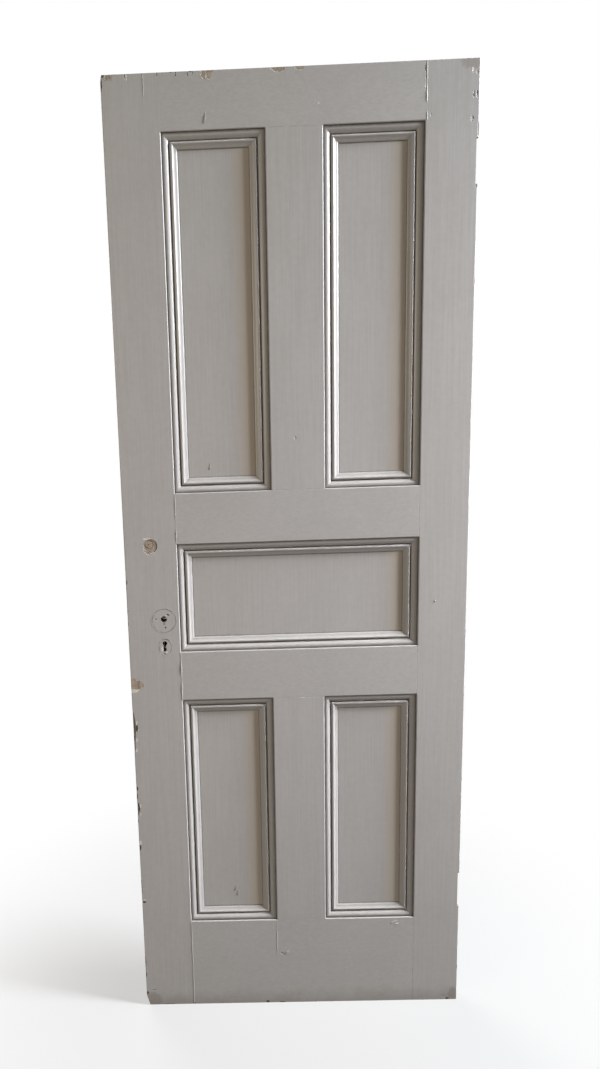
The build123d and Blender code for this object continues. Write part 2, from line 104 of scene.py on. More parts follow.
# Shares of dirt, stains and painted shade in the colour where each lies thickest; the inner edges hold painted shade
# only
FOOT_DIRT_SHARE = 0.42
INNER_EDGE_SHADE_SHARE = 0.7
STAIN_SHARE = 0.38
PLATE_RING_SHARE = 0.7
SEAM_SHARE = 0.85
RAW_CUT_SHARE = 0.35
PANEL_DIRT_AND_SHADE_SHARE = 0.6
CREVICE_DIRT_AND_SHADE_SHARE = 0.85
CRACK_SHARE = 0.8
SIDE_GRIME_AND_SHADE_LEAST, SIDE_GRIME_AND_SHADE_SWING = 0.15, 0.4

# Shares of the fine and the broad clouds that make up the paint's tone and the grain of bare wood
STREAK_SHARE, MOTTLE_SHARE = 0.55, 0.45
FINE_GRAIN_SHARE, BROAD_GRAIN_SHARE = 0.65, 0.35

# How much of the paint film is gone in the rim of a chip, and how much more in its middle
RIM_SUNK_SHARE, BARE_SUNK_SHARE = 0.4, 0.6

# Nicks at the edges: weights of the patches, of the flakes and of the nearness to an edge, and how rare the nicks are
NICK_PATCHES, NICK_FLAKES, NICK_NEARNESS, NICK_RARITY = 2.6, 1.5, 0.55, 2.85

# Roughness: how far brush strokes swing it, how far below the paint's own it starts, and what bare wood adds
SATIN_SWING, SATIN_DROP = 0.16, 0.08
STRIP_SWING, STRIP_DROP = 0.10, 0.11
BARE_WOOD_ROUGHER = 0.35
PLUG_ROUGHNESS = 0.75
IRON_ROUGHNESS, RUST_ROUGHER = 0.4, 0.4
IRON_METALLIC = 0.6

# Small sizes of the finish
RAW_SKIN = 0.2 * MM
FACE_PLATE_HALF = Vector((3.2, 11.1, 76.1)) * MM
KEYHOLE_HALF_WIDTH = 5.2 * MM
KEYHOLE_RIM = 1.2 * MM
PANEL_TONGUE = 10.2 * MM
TOP_SEAM_LENGTH = 62 * MM
HAIRLINE = 0.4 * MM
RING_LINE = 1.1 * MM
GRAIN_DEPTH = 0.1 * MM
CRACK_DEPTH = 0.4 * MM
SAME_POINT = 0.001 * MM
CUT_SLACK = 0.0001 * MM
BROKEN_REACH, BROKEN_START = 12 * MM, 0.6 * MM
INNER_EDGE_MARGIN = 40 * MM
SEAM_SWAY = 1.2 * MM
FOOT_DIRT_SWAY = 50 * MM
PANEL_DIRT_AND_SHADE_SWAY = 2.5 * MM
FLOOR_GAP = 0.5 * MM
SHARP_ANGLE = math.radians(38)
RAW_OPENINGS = {"lock_stile": ("lock_mortise",), "hinge_stile": ("upper_hinge_gain", "lower_hinge_gain")}

# Where dirt and painted shade lie on a moulding, as shares of its width and height: over what width they fade beside
# the sunk line and the frame, up to what height they lie in the sunk line, and over what width they fade from the
# panel
SUNK_LINE_SHARE = 0.04
SUNK_LINE_TOP_SHARE = 0.46
PANEL_LINE_SHARE = 0.03
SUNK_LINE_STRENGTH, FRAME_LINE_STRENGTH = 1.6, 1.3

# Straight steps that stand for each curve of the moulding's section
OVOLO_STEPS, BEAD_STEPS, OGEE_STEPS = 8, 10, 6

# Rings of paint: how often they change on the way round, their least and mean height and its swing, and how far and
# how often they stray from the oval
RING_CHANGES = 1.3
RING_LEAST, RING_MEAN, RING_SWING = 0.25, 0.75, 1.1
RING_STRAY, RING_STRAY_CHANGES = 0.035, 2.3

# Lines of paint over joints: how often they change in a metre, how far and how slowly they sway, their least and mean
# height, and the width and the lean of their crest as shares of their width
RIDGE_CHANGES = 45
RIDGE_SWAY, RIDGE_SWAY_SLOWER = 0.45 * MM, 0.4
RIDGE_LEAST, RIDGE_MEAN = 0.1, 0.8
CREST_WIDTH_SHARE, CREST_LEAN_SHARE = 0.25, 0.2

# Ridges of paint over the joints at the lock stile, from rail to rail: their strength
RAIL_RIDGES = {"frieze_rail": 0.9, "lock_rail": 1.6, "bottom_rail": 1.2}

# Worn places, in millimetres from the lock edge and the foot: across, up, half width, half height
BARE_PLACES = {
    "lock_stile": [(14, 1977, 6, 3.5), (2, 780, 13, 13), (12, 777, 12, 10), (20, 775, 7.5, 5.5), (50, 1074, 9, 12),
                   (60, 1079, 9, 13)],
    "top_rail": [(195, 1976, 4, 11), (204, 1978, 5, 11), (209, 1982, 5, 5), (336, 1983, 15, 10), (375, 1983, 10, 8)],
}
SPLINTERED_PLACES = {
    "lock_stile": [(8, 678, 2.2, 9), (1, 655, 2.5, 10), (1, 538, 3.4, 5), (3, 498, 2, 6), (1, 396, 3.2, 8),
                   (4, 262.5, 5, 2.6), (0, 301, 1.6, 19), (0, 112, 2, 16), (0, 78, 2.4, 8), (0, 1003, 2.5, 5),
                   (4, 1979.5, 4, 3), (0, 1966, 3.5, 14), (24, 1982, 10, 1.6), (47.4, 1976, 1, 4),
                   (107, 1979, 1.1, 4.5), (16, 38.5, 1.6, 1.6), (2, 31, 2.6, 4),
                   (58.9, 921.8, 2.0, 2.1), (85.7, 930.3, 3.0, 2.2), (78.8, 902.6, 1.5, 1.5), (77, 911, 1.2, 2),
                   (76.2, 844.9, 1.8, 1.8)],
    "hinge_stile": [(712, 1860, 3.4, 15), (711, 1758, 3, 4), (690, 1, 5, 4.5), (699.5, 1918, 1, 5),
                    (706.5, 1920, 1.1, 7.5), (700, 1877, 0.9, 4)],
    "top_rail": [(142, 1978, 1.1, 5.5), (133, 1982, 9, 1.3), (164.5, 1977, 0.9, 5), (170, 1981, 3, 1.4),
                 (174, 1979, 0.9, 4), (609.5, 1967, 1.4, 5), (191.5, 1974, 0.9, 7)],
    "bottom_rail": [(279, 2, 4, 4.5), (313, 0.5, 8, 2.6), (111, 0, 2, 6), (313, 127, 1.3, 1.8)],
}
UNDERCOAT_PLACES = {
    "lock_stile": [(8.5, 692, 1.8, 5), (10.3, 674, 1.8, 4), (7.4, 652, 2, 4), (5.6, 629, 1.8, 4), (7.4, 497, 1.7, 5),
                   (7, 477, 1.7, 3), (3.5, 409, 3, 5), (6, 268, 3.6, 2), (5, 768, 13, 7), (71.5, 857, 2.2, 6),
                   (80, 849, 2, 3), (72, 927, 1.6, 1.6), (50, 1975, 1.4, 5), (50, 1095, 8, 2.5), (19, 42, 2.4, 2)],
    "hinge_stile": [(698, 1961, 1.8, 5)],
    "top_rail": [(199.6, 1974, 1.2, 4), (411, 1916, 1.1, 1.3)],
}
STAINED_PLACES = {
    "lock_stile": [(10, 8, 30, 27), (13, 1976, 12, 7)],
    "hinge_stile": [(700, 1976, 30, 15), (702, 14, 12, 20)],
}
DENTED_PLACES = {
    "lock_stile": [(18, 39, 5, 4)],
    "hinge_stile": [(700, 1919, 2.2, 8), (706.5, 1919, 2.2, 9), (697, 1877, 1.9, 8), (705.5, 1957, 3, 5),
                    (682, 8, 8, 4), (621, 1886, 2, 4)],
    "upper_muntin": [(358, 1292, 3, 5)],
    "bottom_rail": [(315, 126, 4, 5)],
}

# Runs of paint, in millimetres: across, up, width, length, turned by degrees
FRAME_RUNS = [(194, 1899, 5.2, 21, 12), (325, 130, 3.6, 12, 40), (645, 944, 3, 4, 0), (566, 201, 2.6, 16, 62),
              (573, 196, 2.2, 10, 75)]
PANEL_RUNS = [(184, 1240, 4.0, 14, 10), (213, 286, 2.6, 15, 14), (217, 275, 4.6, 16, 12)]

# Lamps: place, what they point at, width and height, colour, and spread in degrees
LAMPS = {
    "key_light": ((3.4, -0.62, 3.25), (0.8, -0.1, -1.5), (0.75, 1.4), (0.90, 0.957, 1.0), 180),
    "side_light": ((3.0, -0.75, 2.1), (0, 0, 0.8), (0.6, 0.6), (0.984, 0.93, 1.0), 50),
    "fill_light": ((-2.2, -1.5, 1.7), (0, 0, 0.9), (1.2, 1.2), (1.0, 0.853, 0.645), 180),
    "back_light": ((-1.6, 2.6, 2.2), (0, 0, 1.0), (2.0, 2.0), (1.0, 0.98, 0.96), 180),
}

# The floor is plain white beyond these distances, and in part white nearer the leaf, where its shadow lies
FLOOR_WHITE_FROM, FLOOR_WHITE_AT = 0.35, 1.1
FLOOR_WHITE_SHARE = 0.5

# A black card of painted shade behind the lock's holes: half size, drop below the spindle, gap behind the leaf
SHADE_CARD_REACH = Vector((50, 0, 90)) * MM
SHADE_CARD_DROP = 40 * MM
SHADE_CARD_GAP = 2 * MM


# Settings

class LeafPaint(bpy.types.PropertyGroup):
    """Colours and films of the leaf's finish, with the colours of its painted shade."""
    paint: FloatVectorProperty(
        name="Paint", description="Top coat, a warm light grey", subtype="COLOR", size=4,
        min=0, max=1, default=(0.414, 0.400, 0.388, 1))
    paint_worn: FloatVectorProperty(
        name="Worn paint", description="Top coat where the brush left it thin", subtype="COLOR", size=4,
        min=0, max=1, default=(0.370, 0.356, 0.343, 1))
    # Painted warm shade: the colour of the shaded right side of each panel, on the front
    painted_warm_shade: FloatVectorProperty(
        name="Yellowed paint", description="Top coat in the shade at the right of each panel", subtype="COLOR", size=4,
        min=0, max=1, default=(0.47, 0.415, 0.345, 1))
    undercoat: FloatVectorProperty(
        name="Undercoat", description="Cream coat that shows round a chip", subtype="COLOR", size=4,
        min=0, max=1, default=(0.60, 0.575, 0.525, 1))
    tan_wood: FloatVectorProperty(
        name="Bare wood", description="Wood and old varnish where the paint came off", subtype="COLOR", size=4,
        min=0, max=1, default=(0.385, 0.318, 0.252, 1))
    old_wood: FloatVectorProperty(
        name="Old wood", description="Grain lines and wood that has gone dark", subtype="COLOR", size=4,
        min=0, max=1, default=(0.16, 0.122, 0.088, 1))
    weathered: FloatVectorProperty(
        name="Weathered wood", description="Grey wood where an edge splintered off", subtype="COLOR", size=4,
        min=0, max=1, default=(0.215, 0.195, 0.172, 1))
    splinter: FloatVectorProperty(
        name="Splintered wood", description="Broken edges that hold dirt", subtype="COLOR", size=4,
        min=0, max=1, default=(0.062, 0.052, 0.044, 1))
    dirt: FloatVectorProperty(
        name="Dirt", description="Dust and polish that lie in corners and along the foot", subtype="COLOR", size=4,
        min=0, max=1, default=(0.175, 0.148, 0.122, 1))
    # Dark colour of old dirt and of painted shade, for sunk lines, gaps, panel edges, inner edges of the openings and
    # plate rings
    deep_dirt_and_shade: FloatVectorProperty(
        name="Crevice dirt", description="Old dirt packed into sunk lines and gaps", subtype="COLOR", size=4,
        min=0, max=1, default=(0.045, 0.037, 0.029, 1))
    iron: FloatVectorProperty(
        name="Iron", description="Cut brads", subtype="COLOR", size=4,
        min=0, max=1, default=(0.09, 0.075, 0.065, 1))
    film: FloatProperty(
        name="Paint film", description="How thick the coats of paint lie", unit="LENGTH", default=0.35 * MM)
    stroke: FloatProperty(
        name="Stroke height", description="How far brush marks stand up", unit="LENGTH", default=0.02 * MM)
    gloss: FloatProperty(
        name="Paint roughness", description="Roughness of the satin top coat", subtype="FACTOR",
        min=0, max=1, default=0.42)
    dirt_height: FloatProperty(
        name="Dirt band", description="How high the dirt reaches up from the foot", unit="LENGTH", default=42 * MM)
    edge_wear: FloatProperty(
        name="Edge wear", description="How far from the leaf's edges the paint is nicked", unit="LENGTH",
        default=3.2 * MM)


class LeafMoulding(bpy.types.PropertyGroup):
    """Section of the planted mouldings, as shares of their width and height."""
    fillet_shares: FloatVectorProperty(
        name="Fillet", description="End of the flat at the frame", size=2, default=(0.205, 1.0))
    ovolo_shares: FloatVectorProperty(
        name="Ovolo", description="Foot of the round below the fillet", size=2, default=(0.45, 0.44))
    quirk_start_shares: FloatVectorProperty(
        name="Quirk start", description="Near side of the sunk line", size=2, default=(0.468, 0.30))
    quirk_end_shares: FloatVectorProperty(
        name="Quirk end", description="Far side of the sunk line", size=2, default=(0.515, 0.30))
    bead_crest_shares: FloatVectorProperty(
        name="Bead crest", description="Top of the bead", size=2, default=(0.64, 0.77))
    bead_end_shares: FloatVectorProperty(
        name="Bead end", description="Where the bead turns into the ogee", size=2, default=(0.71, 0.63))
    ogee_middle_shares: FloatVectorProperty(
        name="Ogee middle", description="Where the ogee turns from hollow to round", size=2, default=(0.845, 0.37))
    ogee_end_shares: FloatVectorProperty(
        name="Ogee end", description="Thin edge at the panel", size=2, default=(1.0, 0.07))
    ovolo_bow_share: FloatProperty(
        name="Ovolo bow", description="How far the round stands off its chord", default=0.08)
    cove_bow_share: FloatProperty(
        name="Hollow bow", description="How far the ogee's hollow lies under its chord", default=-0.02)
    ogee_bow_share: FloatProperty(
        name="Ogee bow", description="How far the ogee's round stands off its chord", default=0.05)
    softness: FloatProperty(
        name="Softness", description="Radius that coats of paint give to a sharp edge", unit="LENGTH",
        default=0.6 * MM)


class LeafMarks(bpy.types.PropertyGroup):
    """Marks on the lock stile and over the joints."""
    rose_radius: FloatProperty(
        name="Rose radius", description="Ring of paint round the lost rose", unit="LENGTH", default=25.5 * MM)
    rose_drop: FloatProperty(
        name="Rose drop", description="From the spindle to the middle of the rose", unit="LENGTH", default=3 * MM)
    key_plate_half_width: FloatProperty(
        name="Key plate half width", description="Oval of paint round the lost key plate", unit="LENGTH",
        default=13.2 * MM)
    key_plate_half_height: FloatProperty(
        name="Key plate half height", description="Oval of paint round the lost key plate", unit="LENGTH",
        default=19.5 * MM)
    key_plate_drop: FloatProperty(
        name="Key plate drop", description="From the spindle to the middle of the key plate", unit="LENGTH",
        default=61.5 * MM)
    ridge_width: FloatProperty(
        name="Ridge width", description="Width of a ridge of paint", unit="LENGTH", default=2.4 * MM)
    ridge_height: FloatProperty(
        name="Ridge height", description="Height of a ridge of paint", unit="LENGTH", default=0.45 * MM)
    run_height: FloatProperty(
        name="Run height", description="How far a run of paint stands up", unit="LENGTH", default=0.9 * MM)


class LeafStage(bpy.types.PropertyGroup):
    """Camera, lamps and floor."""
    camera_place: FloatVectorProperty(
        name="Camera place", description="Where the camera stands", subtype="TRANSLATION", size=3,
        default=(-0.17972, -1.50291, 1.34331))
    camera_turn: FloatVectorProperty(
        name="Camera turn", description="Turn of the camera in degrees", size=3, default=(80.7227, 2.0331, 0.9470))
    lens: FloatProperty(
        name="Lens", description="Focal length on a 36 mm sensor, in millimetres", default=24.4748)
    camera_shift: FloatProperty(
        name="Sideways shift", description="Shift of the frame, as a share of its long side", default=0.1009)
    key_power: FloatProperty(
        name="Key light", description="Power of the high soft light at the right, in watts", default=498.0)
    side_power: FloatProperty(
        name="Side light", description="Power of the narrow soft light at the right, in watts", default=10.2)
    fill_power: FloatProperty(
        name="Fill light", description="Power of the warm soft light at the left, in watts", default=26.5)
    back_power: FloatProperty(
        name="Back light", description="Power of the soft light behind the leaf, in watts", default=105.0)
    room_colour: FloatVectorProperty(
        name="Room light", description="Colour of the light that comes from all round", subtype="COLOR", size=4,
        min=0, max=1, default=(0.02, 0.016, 0.012, 1))
    floor_colour: FloatVectorProperty(
        name="Floor", description="Pale floor", subtype="COLOR", size=4, min=0, max=1,
        default=(0.36, 0.355, 0.35, 1))
    floor_bounce: FloatVectorProperty(
        name="Floor bounce", description="How much light the floor throws back up at the leaf", subtype="COLOR",
        size=4, min=0, max=1, default=(0.12, 0.11, 0.10, 1))
    floor_radius: FloatProperty(
        name="Floor radius", description="Size of the floor", unit="LENGTH", default=4.0)


SETTINGS = {"leaf_paint": LeafPaint, "leaf_moulding": LeafMoulding, "leaf_marks": LeafMarks, "leaf_stage": LeafStage}


# Node trees

class Graph:
    """Adds nodes to one node tree and links them."""

    def __init__(self, tree):
        self.tree = tree

    def feed(self, socket, value):
        """Links a socket, or sets its value."""
        if isinstance(value, bpy.types.NodeSocket):
            self.tree.links.new(value, socket)
        else:
            socket.default_value = value

    def node(self, kind, inputs=None, **choices):
        """A new node with its choices made and its inputs fed, by name or by number."""
        made = self.tree.nodes.new(kind)
        for name, value in choices.items():
            setattr(made, name, value)
        for key, value in (inputs or {}).items():
            self.feed(made.inputs[key], value)
        return made

    def math(self, operation, *values):
        return self.node("ShaderNodeMath", dict(enumerate(values)), operation=operation).outputs[0]

    def vector(self, operation, *values):
        made = self.node("ShaderNodeVectorMath", dict(enumerate(values)), operation=operation)
        return made.outputs["Value" if operation == "LENGTH" else "Vector"]

    def scaled(self, vector, factor):
        return self.node("ShaderNodeVectorMath", {0: vector, "Scale": factor}, operation="SCALE").outputs["Vector"]

    def parts(self, vector):
        return self.node("ShaderNodeSeparateXYZ", {0: vector}).outputs

    def ramp(self, value, low, high):
        """A smooth step from 0 at low to 1 at high."""
        return self.node("ShaderNodeMapRange", {"Value": value, "From Min": low, "From Max": high},
                         interpolation_type="SMOOTHSTEP").outputs["Result"]

    def mix(self, factor, first, second):
        """Blends two colours."""
        return self.node("ShaderNodeMix", {0: factor, 6: first, 7: second}, data_type="RGBA").outputs[2]

    def times(self, first, second):
        return self.math("MULTIPLY", first, second)

    def line(self, value, slope, start):
        """A straight line: slope times value, plus start."""
        return self.math("MULTIPLY_ADD", value, slope, start)

    def noise(self, vector, scale, detail=2.0, roughness=0.5, output="Fac"):
        """Clouds between 0 and 1, or clouds of colour if output is Color."""
        return self.node("ShaderNodeTexNoise", {"Vector": vector, "Scale": scale, "Detail": detail,
                                                "Roughness": roughness}).outputs[output]

    def ragged(self, place, amount, scale, detail, roughness):
        """A place that is pushed about, so that an outline drawn with it is ragged."""
        clouds = self.noise(place, scale, detail, roughness, "Color")
        return self.vector("ADD", place, self.scaled(self.vector("SUBTRACT", clouds, (0.5, 0.5, 0.5)), amount))

    def off(self, place, centre):
        """How far a place lies off a centre, along each axis."""
        return self.vector("ABSOLUTE", self.vector("SUBTRACT", place, centre))

    def oval(self, place, centre, reach):
        """How far out a place lies in an oval: 0 at its middle, 1 on its rim."""
        return self.vector("LENGTH", self.vector("DIVIDE", self.vector("SUBTRACT", place, centre), reach))

    def largest(self, values):
        """The largest of several values."""
        found = values[0]
        for value in values[1:]:
            found = self.math("MAXIMUM", found, value)
        return found

    def group(self, name, **inputs):
        """One of the shared groups, with its inputs fed. Underscores in names stand for spaces."""
        made = self.node("ShaderNodeGroup", node_tree=bpy.data.node_groups[name])
        for key, value in inputs.items():
            self.feed(made.inputs[key.replace("_", " ")], value)
        return made.outputs


SOCKET_KINDS = {1: "NodeSocketFloat", 3: "NodeSocketVector", 4: "NodeSocketColor"}


def shader_group(name, inputs, outputs):
    """A new shader group with named sockets; inputs maps names to defaults and outputs maps names to sizes."""
    tree = bpy.data.node_groups.new(name, "ShaderNodeTree")
    for socket_name, default in inputs.items():
        size = 1 if isinstance(default, float) else len(default)
        made = tree.interface.new_socket(socket_name, in_out="INPUT", socket_type=SOCKET_KINDS[size])
        made.default_value = default
    for socket_name, size in outputs.items():
        tree.interface.new_socket(socket_name, in_out="OUTPUT", socket_type=SOCKET_KINDS[size])
    given = tree.nodes.new("NodeGroupInput").outputs
    results = tree.nodes.new("NodeGroupOutput").inputs
    return Graph(tree), given, results


NOWHERE = (0.0, 0.0, 0.0)
BLACK = (0.0, 0.0, 0.0, 1.0)
WHITE = (1.0, 1.0, 1.0, 1.0)


def brush_marks_group():
    """Strokes that run along a piece, and broad patches where the coat is thicker."""
    graph, given, results = shader_group(
        "brush_marks", {"Vector": NOWHERE, "Stretch": UPRIGHT}, {"Streak": 1, "Mottle": 1})
    stretched = graph.vector("MULTIPLY", given["Vector"], given["Stretch"])
    graph.feed(results["Streak"], graph.noise(stretched, scale=1.0, detail=3.0, roughness=0.62))
    broad = graph.noise(given["Vector"], scale=7.0, detail=3.0, roughness=0.55)
    fine = graph.noise(given["Vector"], scale=95.0)
    graph.feed(results["Mottle"], graph.line(fine, 0.5, graph.times(broad, 0.5)))


def timber_group():
    """Bare wood with dark grain lines along a piece."""
    graph, given, results = shader_group(
        "timber", {"Vector": NOWHERE, "Stretch": UPRIGHT, "Light": BLACK, "Dark": BLACK}, {"Color": 4, "Grain": 1})
    stretched = graph.vector("MULTIPLY", given["Vector"], given["Stretch"])
    fine = graph.noise(stretched, scale=2.4, detail=4.0, roughness=0.65)
    broad = graph.noise(stretched, scale=0.35)
    grain = graph.line(fine, FINE_GRAIN_SHARE, graph.times(broad, BROAD_GRAIN_SHARE))
    lines = graph.ramp(grain, low=0.40, high=0.66)
    graph.feed(results["Color"], graph.mix(lines, given["Light"], given["Dark"]))
    graph.feed(results["Grain"], lines)


def chip_group():
    """How deep a point lies in one ragged chip: 1 at its middle, 0 at its rim, less than 0 outside."""
    graph, given, results = shader_group(
        "chip", {"Vector": NOWHERE, "Centre": NOWHERE, "Reach": (1.0, 1.0, 1.0), "Ragged": 3 * MM}, {"Depth": 1})
    moved = graph.ragged(given["Vector"], given["Ragged"], scale=170.0, detail=3.0, roughness=0.6)
    graph.feed(results["Depth"], graph.math("SUBTRACT", 1.0, graph.oval(moved, given["Centre"], given["Reach"])))


def edge_nicks_group():
    """Small nicks along the leaf's outer edges, on its faces and round onto its narrow sides."""
    graph, given, results = shader_group(
        "edge_nicks", {"Vector": NOWHERE, "Centre": NOWHERE, "Half Size": (1.0, 1.0, 1.0), "Reach": 3 * MM},
        {"Depth": 1})
    room = graph.parts(graph.vector("SUBTRACT", given["Half Size"], graph.off(given["Vector"], given["Centre"])))
    to_edge = graph.math("ADD", graph.math("MINIMUM", room["X"], room["Z"]), room["Y"])
    nearness = graph.math("SUBTRACT", 1.0, graph.math("DIVIDE", to_edge, given["Reach"]))
    patches = graph.noise(given["Vector"], scale=38.0)
    flakes = graph.noise(given["Vector"], scale=210.0, detail=3.0, roughness=0.6)
    luck = graph.line(patches, NICK_PATCHES, graph.times(flakes, NICK_FLAKES))
    graph.feed(results["Depth"], graph.line(nearness, NICK_NEARNESS, graph.math("SUBTRACT", luck, NICK_RARITY)))


def flaking_group():
    """Paint that ends at a chip: undercoat shows at its rim and the inside shows in its middle."""
    graph, given, results = shader_group(
        "flaking", {"Color": BLACK, "Undercoat": BLACK, "Inside": BLACK, "Depth": 0.0, "Rim": 0.2},
        {"Color": 4, "Bare": 1, "Height": 1})
    outer = graph.times(given["Rim"], -1.0)
    rim = graph.ramp(given["Depth"], low=outer, high=graph.times(outer, 0.7))
    bare = graph.ramp(given["Depth"], low=-0.03, high=0.03)
    graph.feed(results["Color"], graph.mix(bare, graph.mix(rim, given["Color"], given["Undercoat"]), given["Inside"]))
    graph.feed(results["Bare"], bare)
    graph.feed(results["Height"], graph.line(rim, -RIM_SUNK_SHARE, graph.times(bare, -BARE_SUNK_SHARE)))


def box_group():
    """A mask of what lies in a box, for raw cuts and edges."""
    graph, given, results = shader_group(
        "cut_box", {"Vector": NOWHERE, "Centre": NOWHERE, "Half Size": (1.0, 1.0, 1.0)}, {"Mask": 1})
    past = graph.parts(graph.vector("SUBTRACT", graph.off(given["Vector"], given["Centre"]), given["Half Size"]))
    furthest = graph.largest([past["X"], past["Y"], past["Z"]])
    graph.feed(results["Mask"], graph.math("LESS_THAN", furthest, 0.0))


def dirt_group():
    """Dirt that rises from the foot, higher in some places than in others."""
    graph, given, results = shader_group(
        "foot_dirt", {"Vector": NOWHERE, "Color": BLACK, "Dirt": BLACK, "Height": 40 * MM}, {"Color": 4, "Mask": 1})
    clouds = graph.noise(given["Vector"], scale=28.0, detail=4.0, roughness=0.65)
    uneven = graph.line(graph.math("SUBTRACT", clouds, 0.5), FOOT_DIRT_SWAY, graph.parts(given["Vector"])["Z"])
    mask = graph.times(graph.ramp(uneven, low=given["Height"], high=0.0), FOOT_DIRT_SHARE)
    graph.feed(results["Color"], graph.mix(mask, given["Color"], given["Dirt"]))
    graph.feed(results["Mask"], mask)


def seam_group():
    """A thin dark line where two members meet, between two ends. It sways, and fades here and there."""
    graph, given, results = shader_group(
        "seam", {"Across": 0.0, "Along": 0.0, "Line": 0.0, "Low": 0.0, "High": 1.0, "Half Width": 0.6 * MM},
        {"Mask": 1})

    def changes(scale, detail):
        return graph.node("ShaderNodeTexNoise", {"W": given["Along"], "Scale": scale, "Detail": detail},
                          noise_dimensions="1D").outputs["Fac"]

    sway = graph.times(graph.math("SUBTRACT", changes(scale=22.0, detail=3.0), 0.5), SEAM_SWAY)
    away = graph.math("ABSOLUTE", graph.math("SUBTRACT", graph.math("ADD", given["Across"], sway), given["Line"]))
    line = graph.ramp(away, low=given["Half Width"], high=graph.times(given["Half Width"], 0.3))
    shown = graph.ramp(changes(scale=60.0, detail=2.0), low=0.30, high=0.62)
    within = graph.times(graph.math("GREATER_THAN", given["Along"], given["Low"]),
                         graph.math("LESS_THAN", given["Along"], given["High"]))
    graph.feed(results["Mask"], graph.times(graph.times(line, shown), within))


def plate_ring_group():
    """A thin broken line of dirt and painted shade round the place of a lost plate."""
    graph, given, results = shader_group(
        "plate_ring", {"Vector": NOWHERE, "Centre": NOWHERE, "Reach": (1.0, 1.0, 1.0), "Half Width": 0.03},
        {"Mask": 1})
    moved = graph.ragged(given["Vector"], amount=5.5 * MM, scale=70.0, detail=2.0, roughness=0.5)
    out = graph.oval(moved, given["Centre"], given["Reach"])
    away = graph.math("ABSOLUTE", graph.math("SUBTRACT", out, 1.0))
    line = graph.ramp(away, low=given["Half Width"], high=graph.times(given["Half Width"], 0.4))
    shown = graph.ramp(graph.noise(given["Vector"], scale=95.0), low=0.32, high=0.5)
    graph.feed(results["Mask"], graph.times(line, shown))


def make_groups():
    for make in (brush_marks_group, timber_group, chip_group, edge_nicks_group, flaking_group, box_group, dirt_group,
                 seam_group, plate_ring_group):
        make()


# Finishes

def new_material(name):
    """A material with its shader, its graph and the place of each point on the leaf."""
    made = bpy.data.materials.new(name)
    made.use_nodes = True
    graph = Graph(made.node_tree)
    place = graph.node("ShaderNodeTexCoord").outputs["Object"]
    return made, graph, made.node_tree.nodes["Principled BSDF"], place


def brushed(graph, place, stretch, paint):
    """Brush strokes along a piece, and the colour of paint that was brushed on so."""
    marks = graph.group("brush_marks", Vector=place, Stretch=stretch)
    tone = graph.line(marks["Streak"], STREAK_SHARE, graph.times(marks["Mottle"], MOTTLE_SHARE))
    return marks["Streak"], graph.mix(graph.ramp(tone, low=0.35, high=0.65), paint.paint_worn, paint.paint)


def satin(graph, streak, paint, swing=SATIN_SWING, drop=SATIN_DROP):
    """Roughness of the paint, which changes a little from stroke to stroke."""
    return graph.line(streak, swing, paint.gloss - drop)


def coat(graph, shader, colour, roughness, height=None):
    """Feeds a finish into its shader. A height, in metres, raises the surface."""
    graph.feed(shader.inputs["Base Color"], colour)
    graph.feed(shader.inputs["Roughness"], roughness)
    if height is not None:
        bump = graph.node("ShaderNodeBump", {"Strength": 1.0, "Distance": 1.0, "Height": height})
        graph.feed(shader.inputs["Normal"], bump.outputs["Normal"])


def leaf_point(across, up):
    """A point of the front face, from millimetres off the lock edge and the foot."""
    return (LOCK_EDGE + across * MM, FRONT, LEAF_FOOT + up * MM)


def chips(graph, place, places, ragged):
    """How deep each point lies in the deepest of several chips."""
    depths = []
    for across, up, half_width, half_height in places:
        reach = (half_width * MM, max(half_width, half_height) * MM, half_height * MM)
        depths.append(graph.group("chip", Vector=place, Centre=leaf_point(across, up), Reach=reach,
                                  Ragged=ragged)["Depth"])
    return graph.largest(depths)


def raw_cuts(node_name):
    """Boxes, as centre and half size, round the cuts in a member that were never painted."""
    end_half = Vector((LEAF_HALF.x, LEAF_HALF.y, RAW_SKIN))
    boxes = [(Vector((LEAF_CENTRE.x, LEAF_CENTRE.y, end)), end_half) for end in (LEAF_TOP, LEAF_FOOT)]
    for name in RAW_OPENINGS.get(node_name, ()):
        low, high = (Vector(corner) for corner in OPENINGS[name])
        boxes.append(((low + high) / 2, (high - low) / 2 + Vector((2, 2, 2)) * RAW_SKIN))
    if node_name == "lock_stile":
        low, high = (Vector(corner) for corner in OPENINGS["keyhole"])
        seat = Vector(MOUNTS["face_plate_screws"]["pos_m"])
        half_depth = LEAF_HALF.y - RAW_SKIN
        boxes.append((seat + Vector((RAW_SKIN - FACE_PLATE_HALF.x, 0, 0)), FACE_PLATE_HALF))
        boxes.append((SPINDLE, Vector((SPINDLE_RADIUS + RAW_SKIN, half_depth, SPINDLE_RADIUS + RAW_SKIN))))
        boxes.append(((low + high) / 2 + Vector((0, 0, RAW_SKIN)),
                      Vector((KEYHOLE_HALF_WIDTH, half_depth, (high.z - low.z) / 2 + KEYHOLE_RIM))))
    return boxes


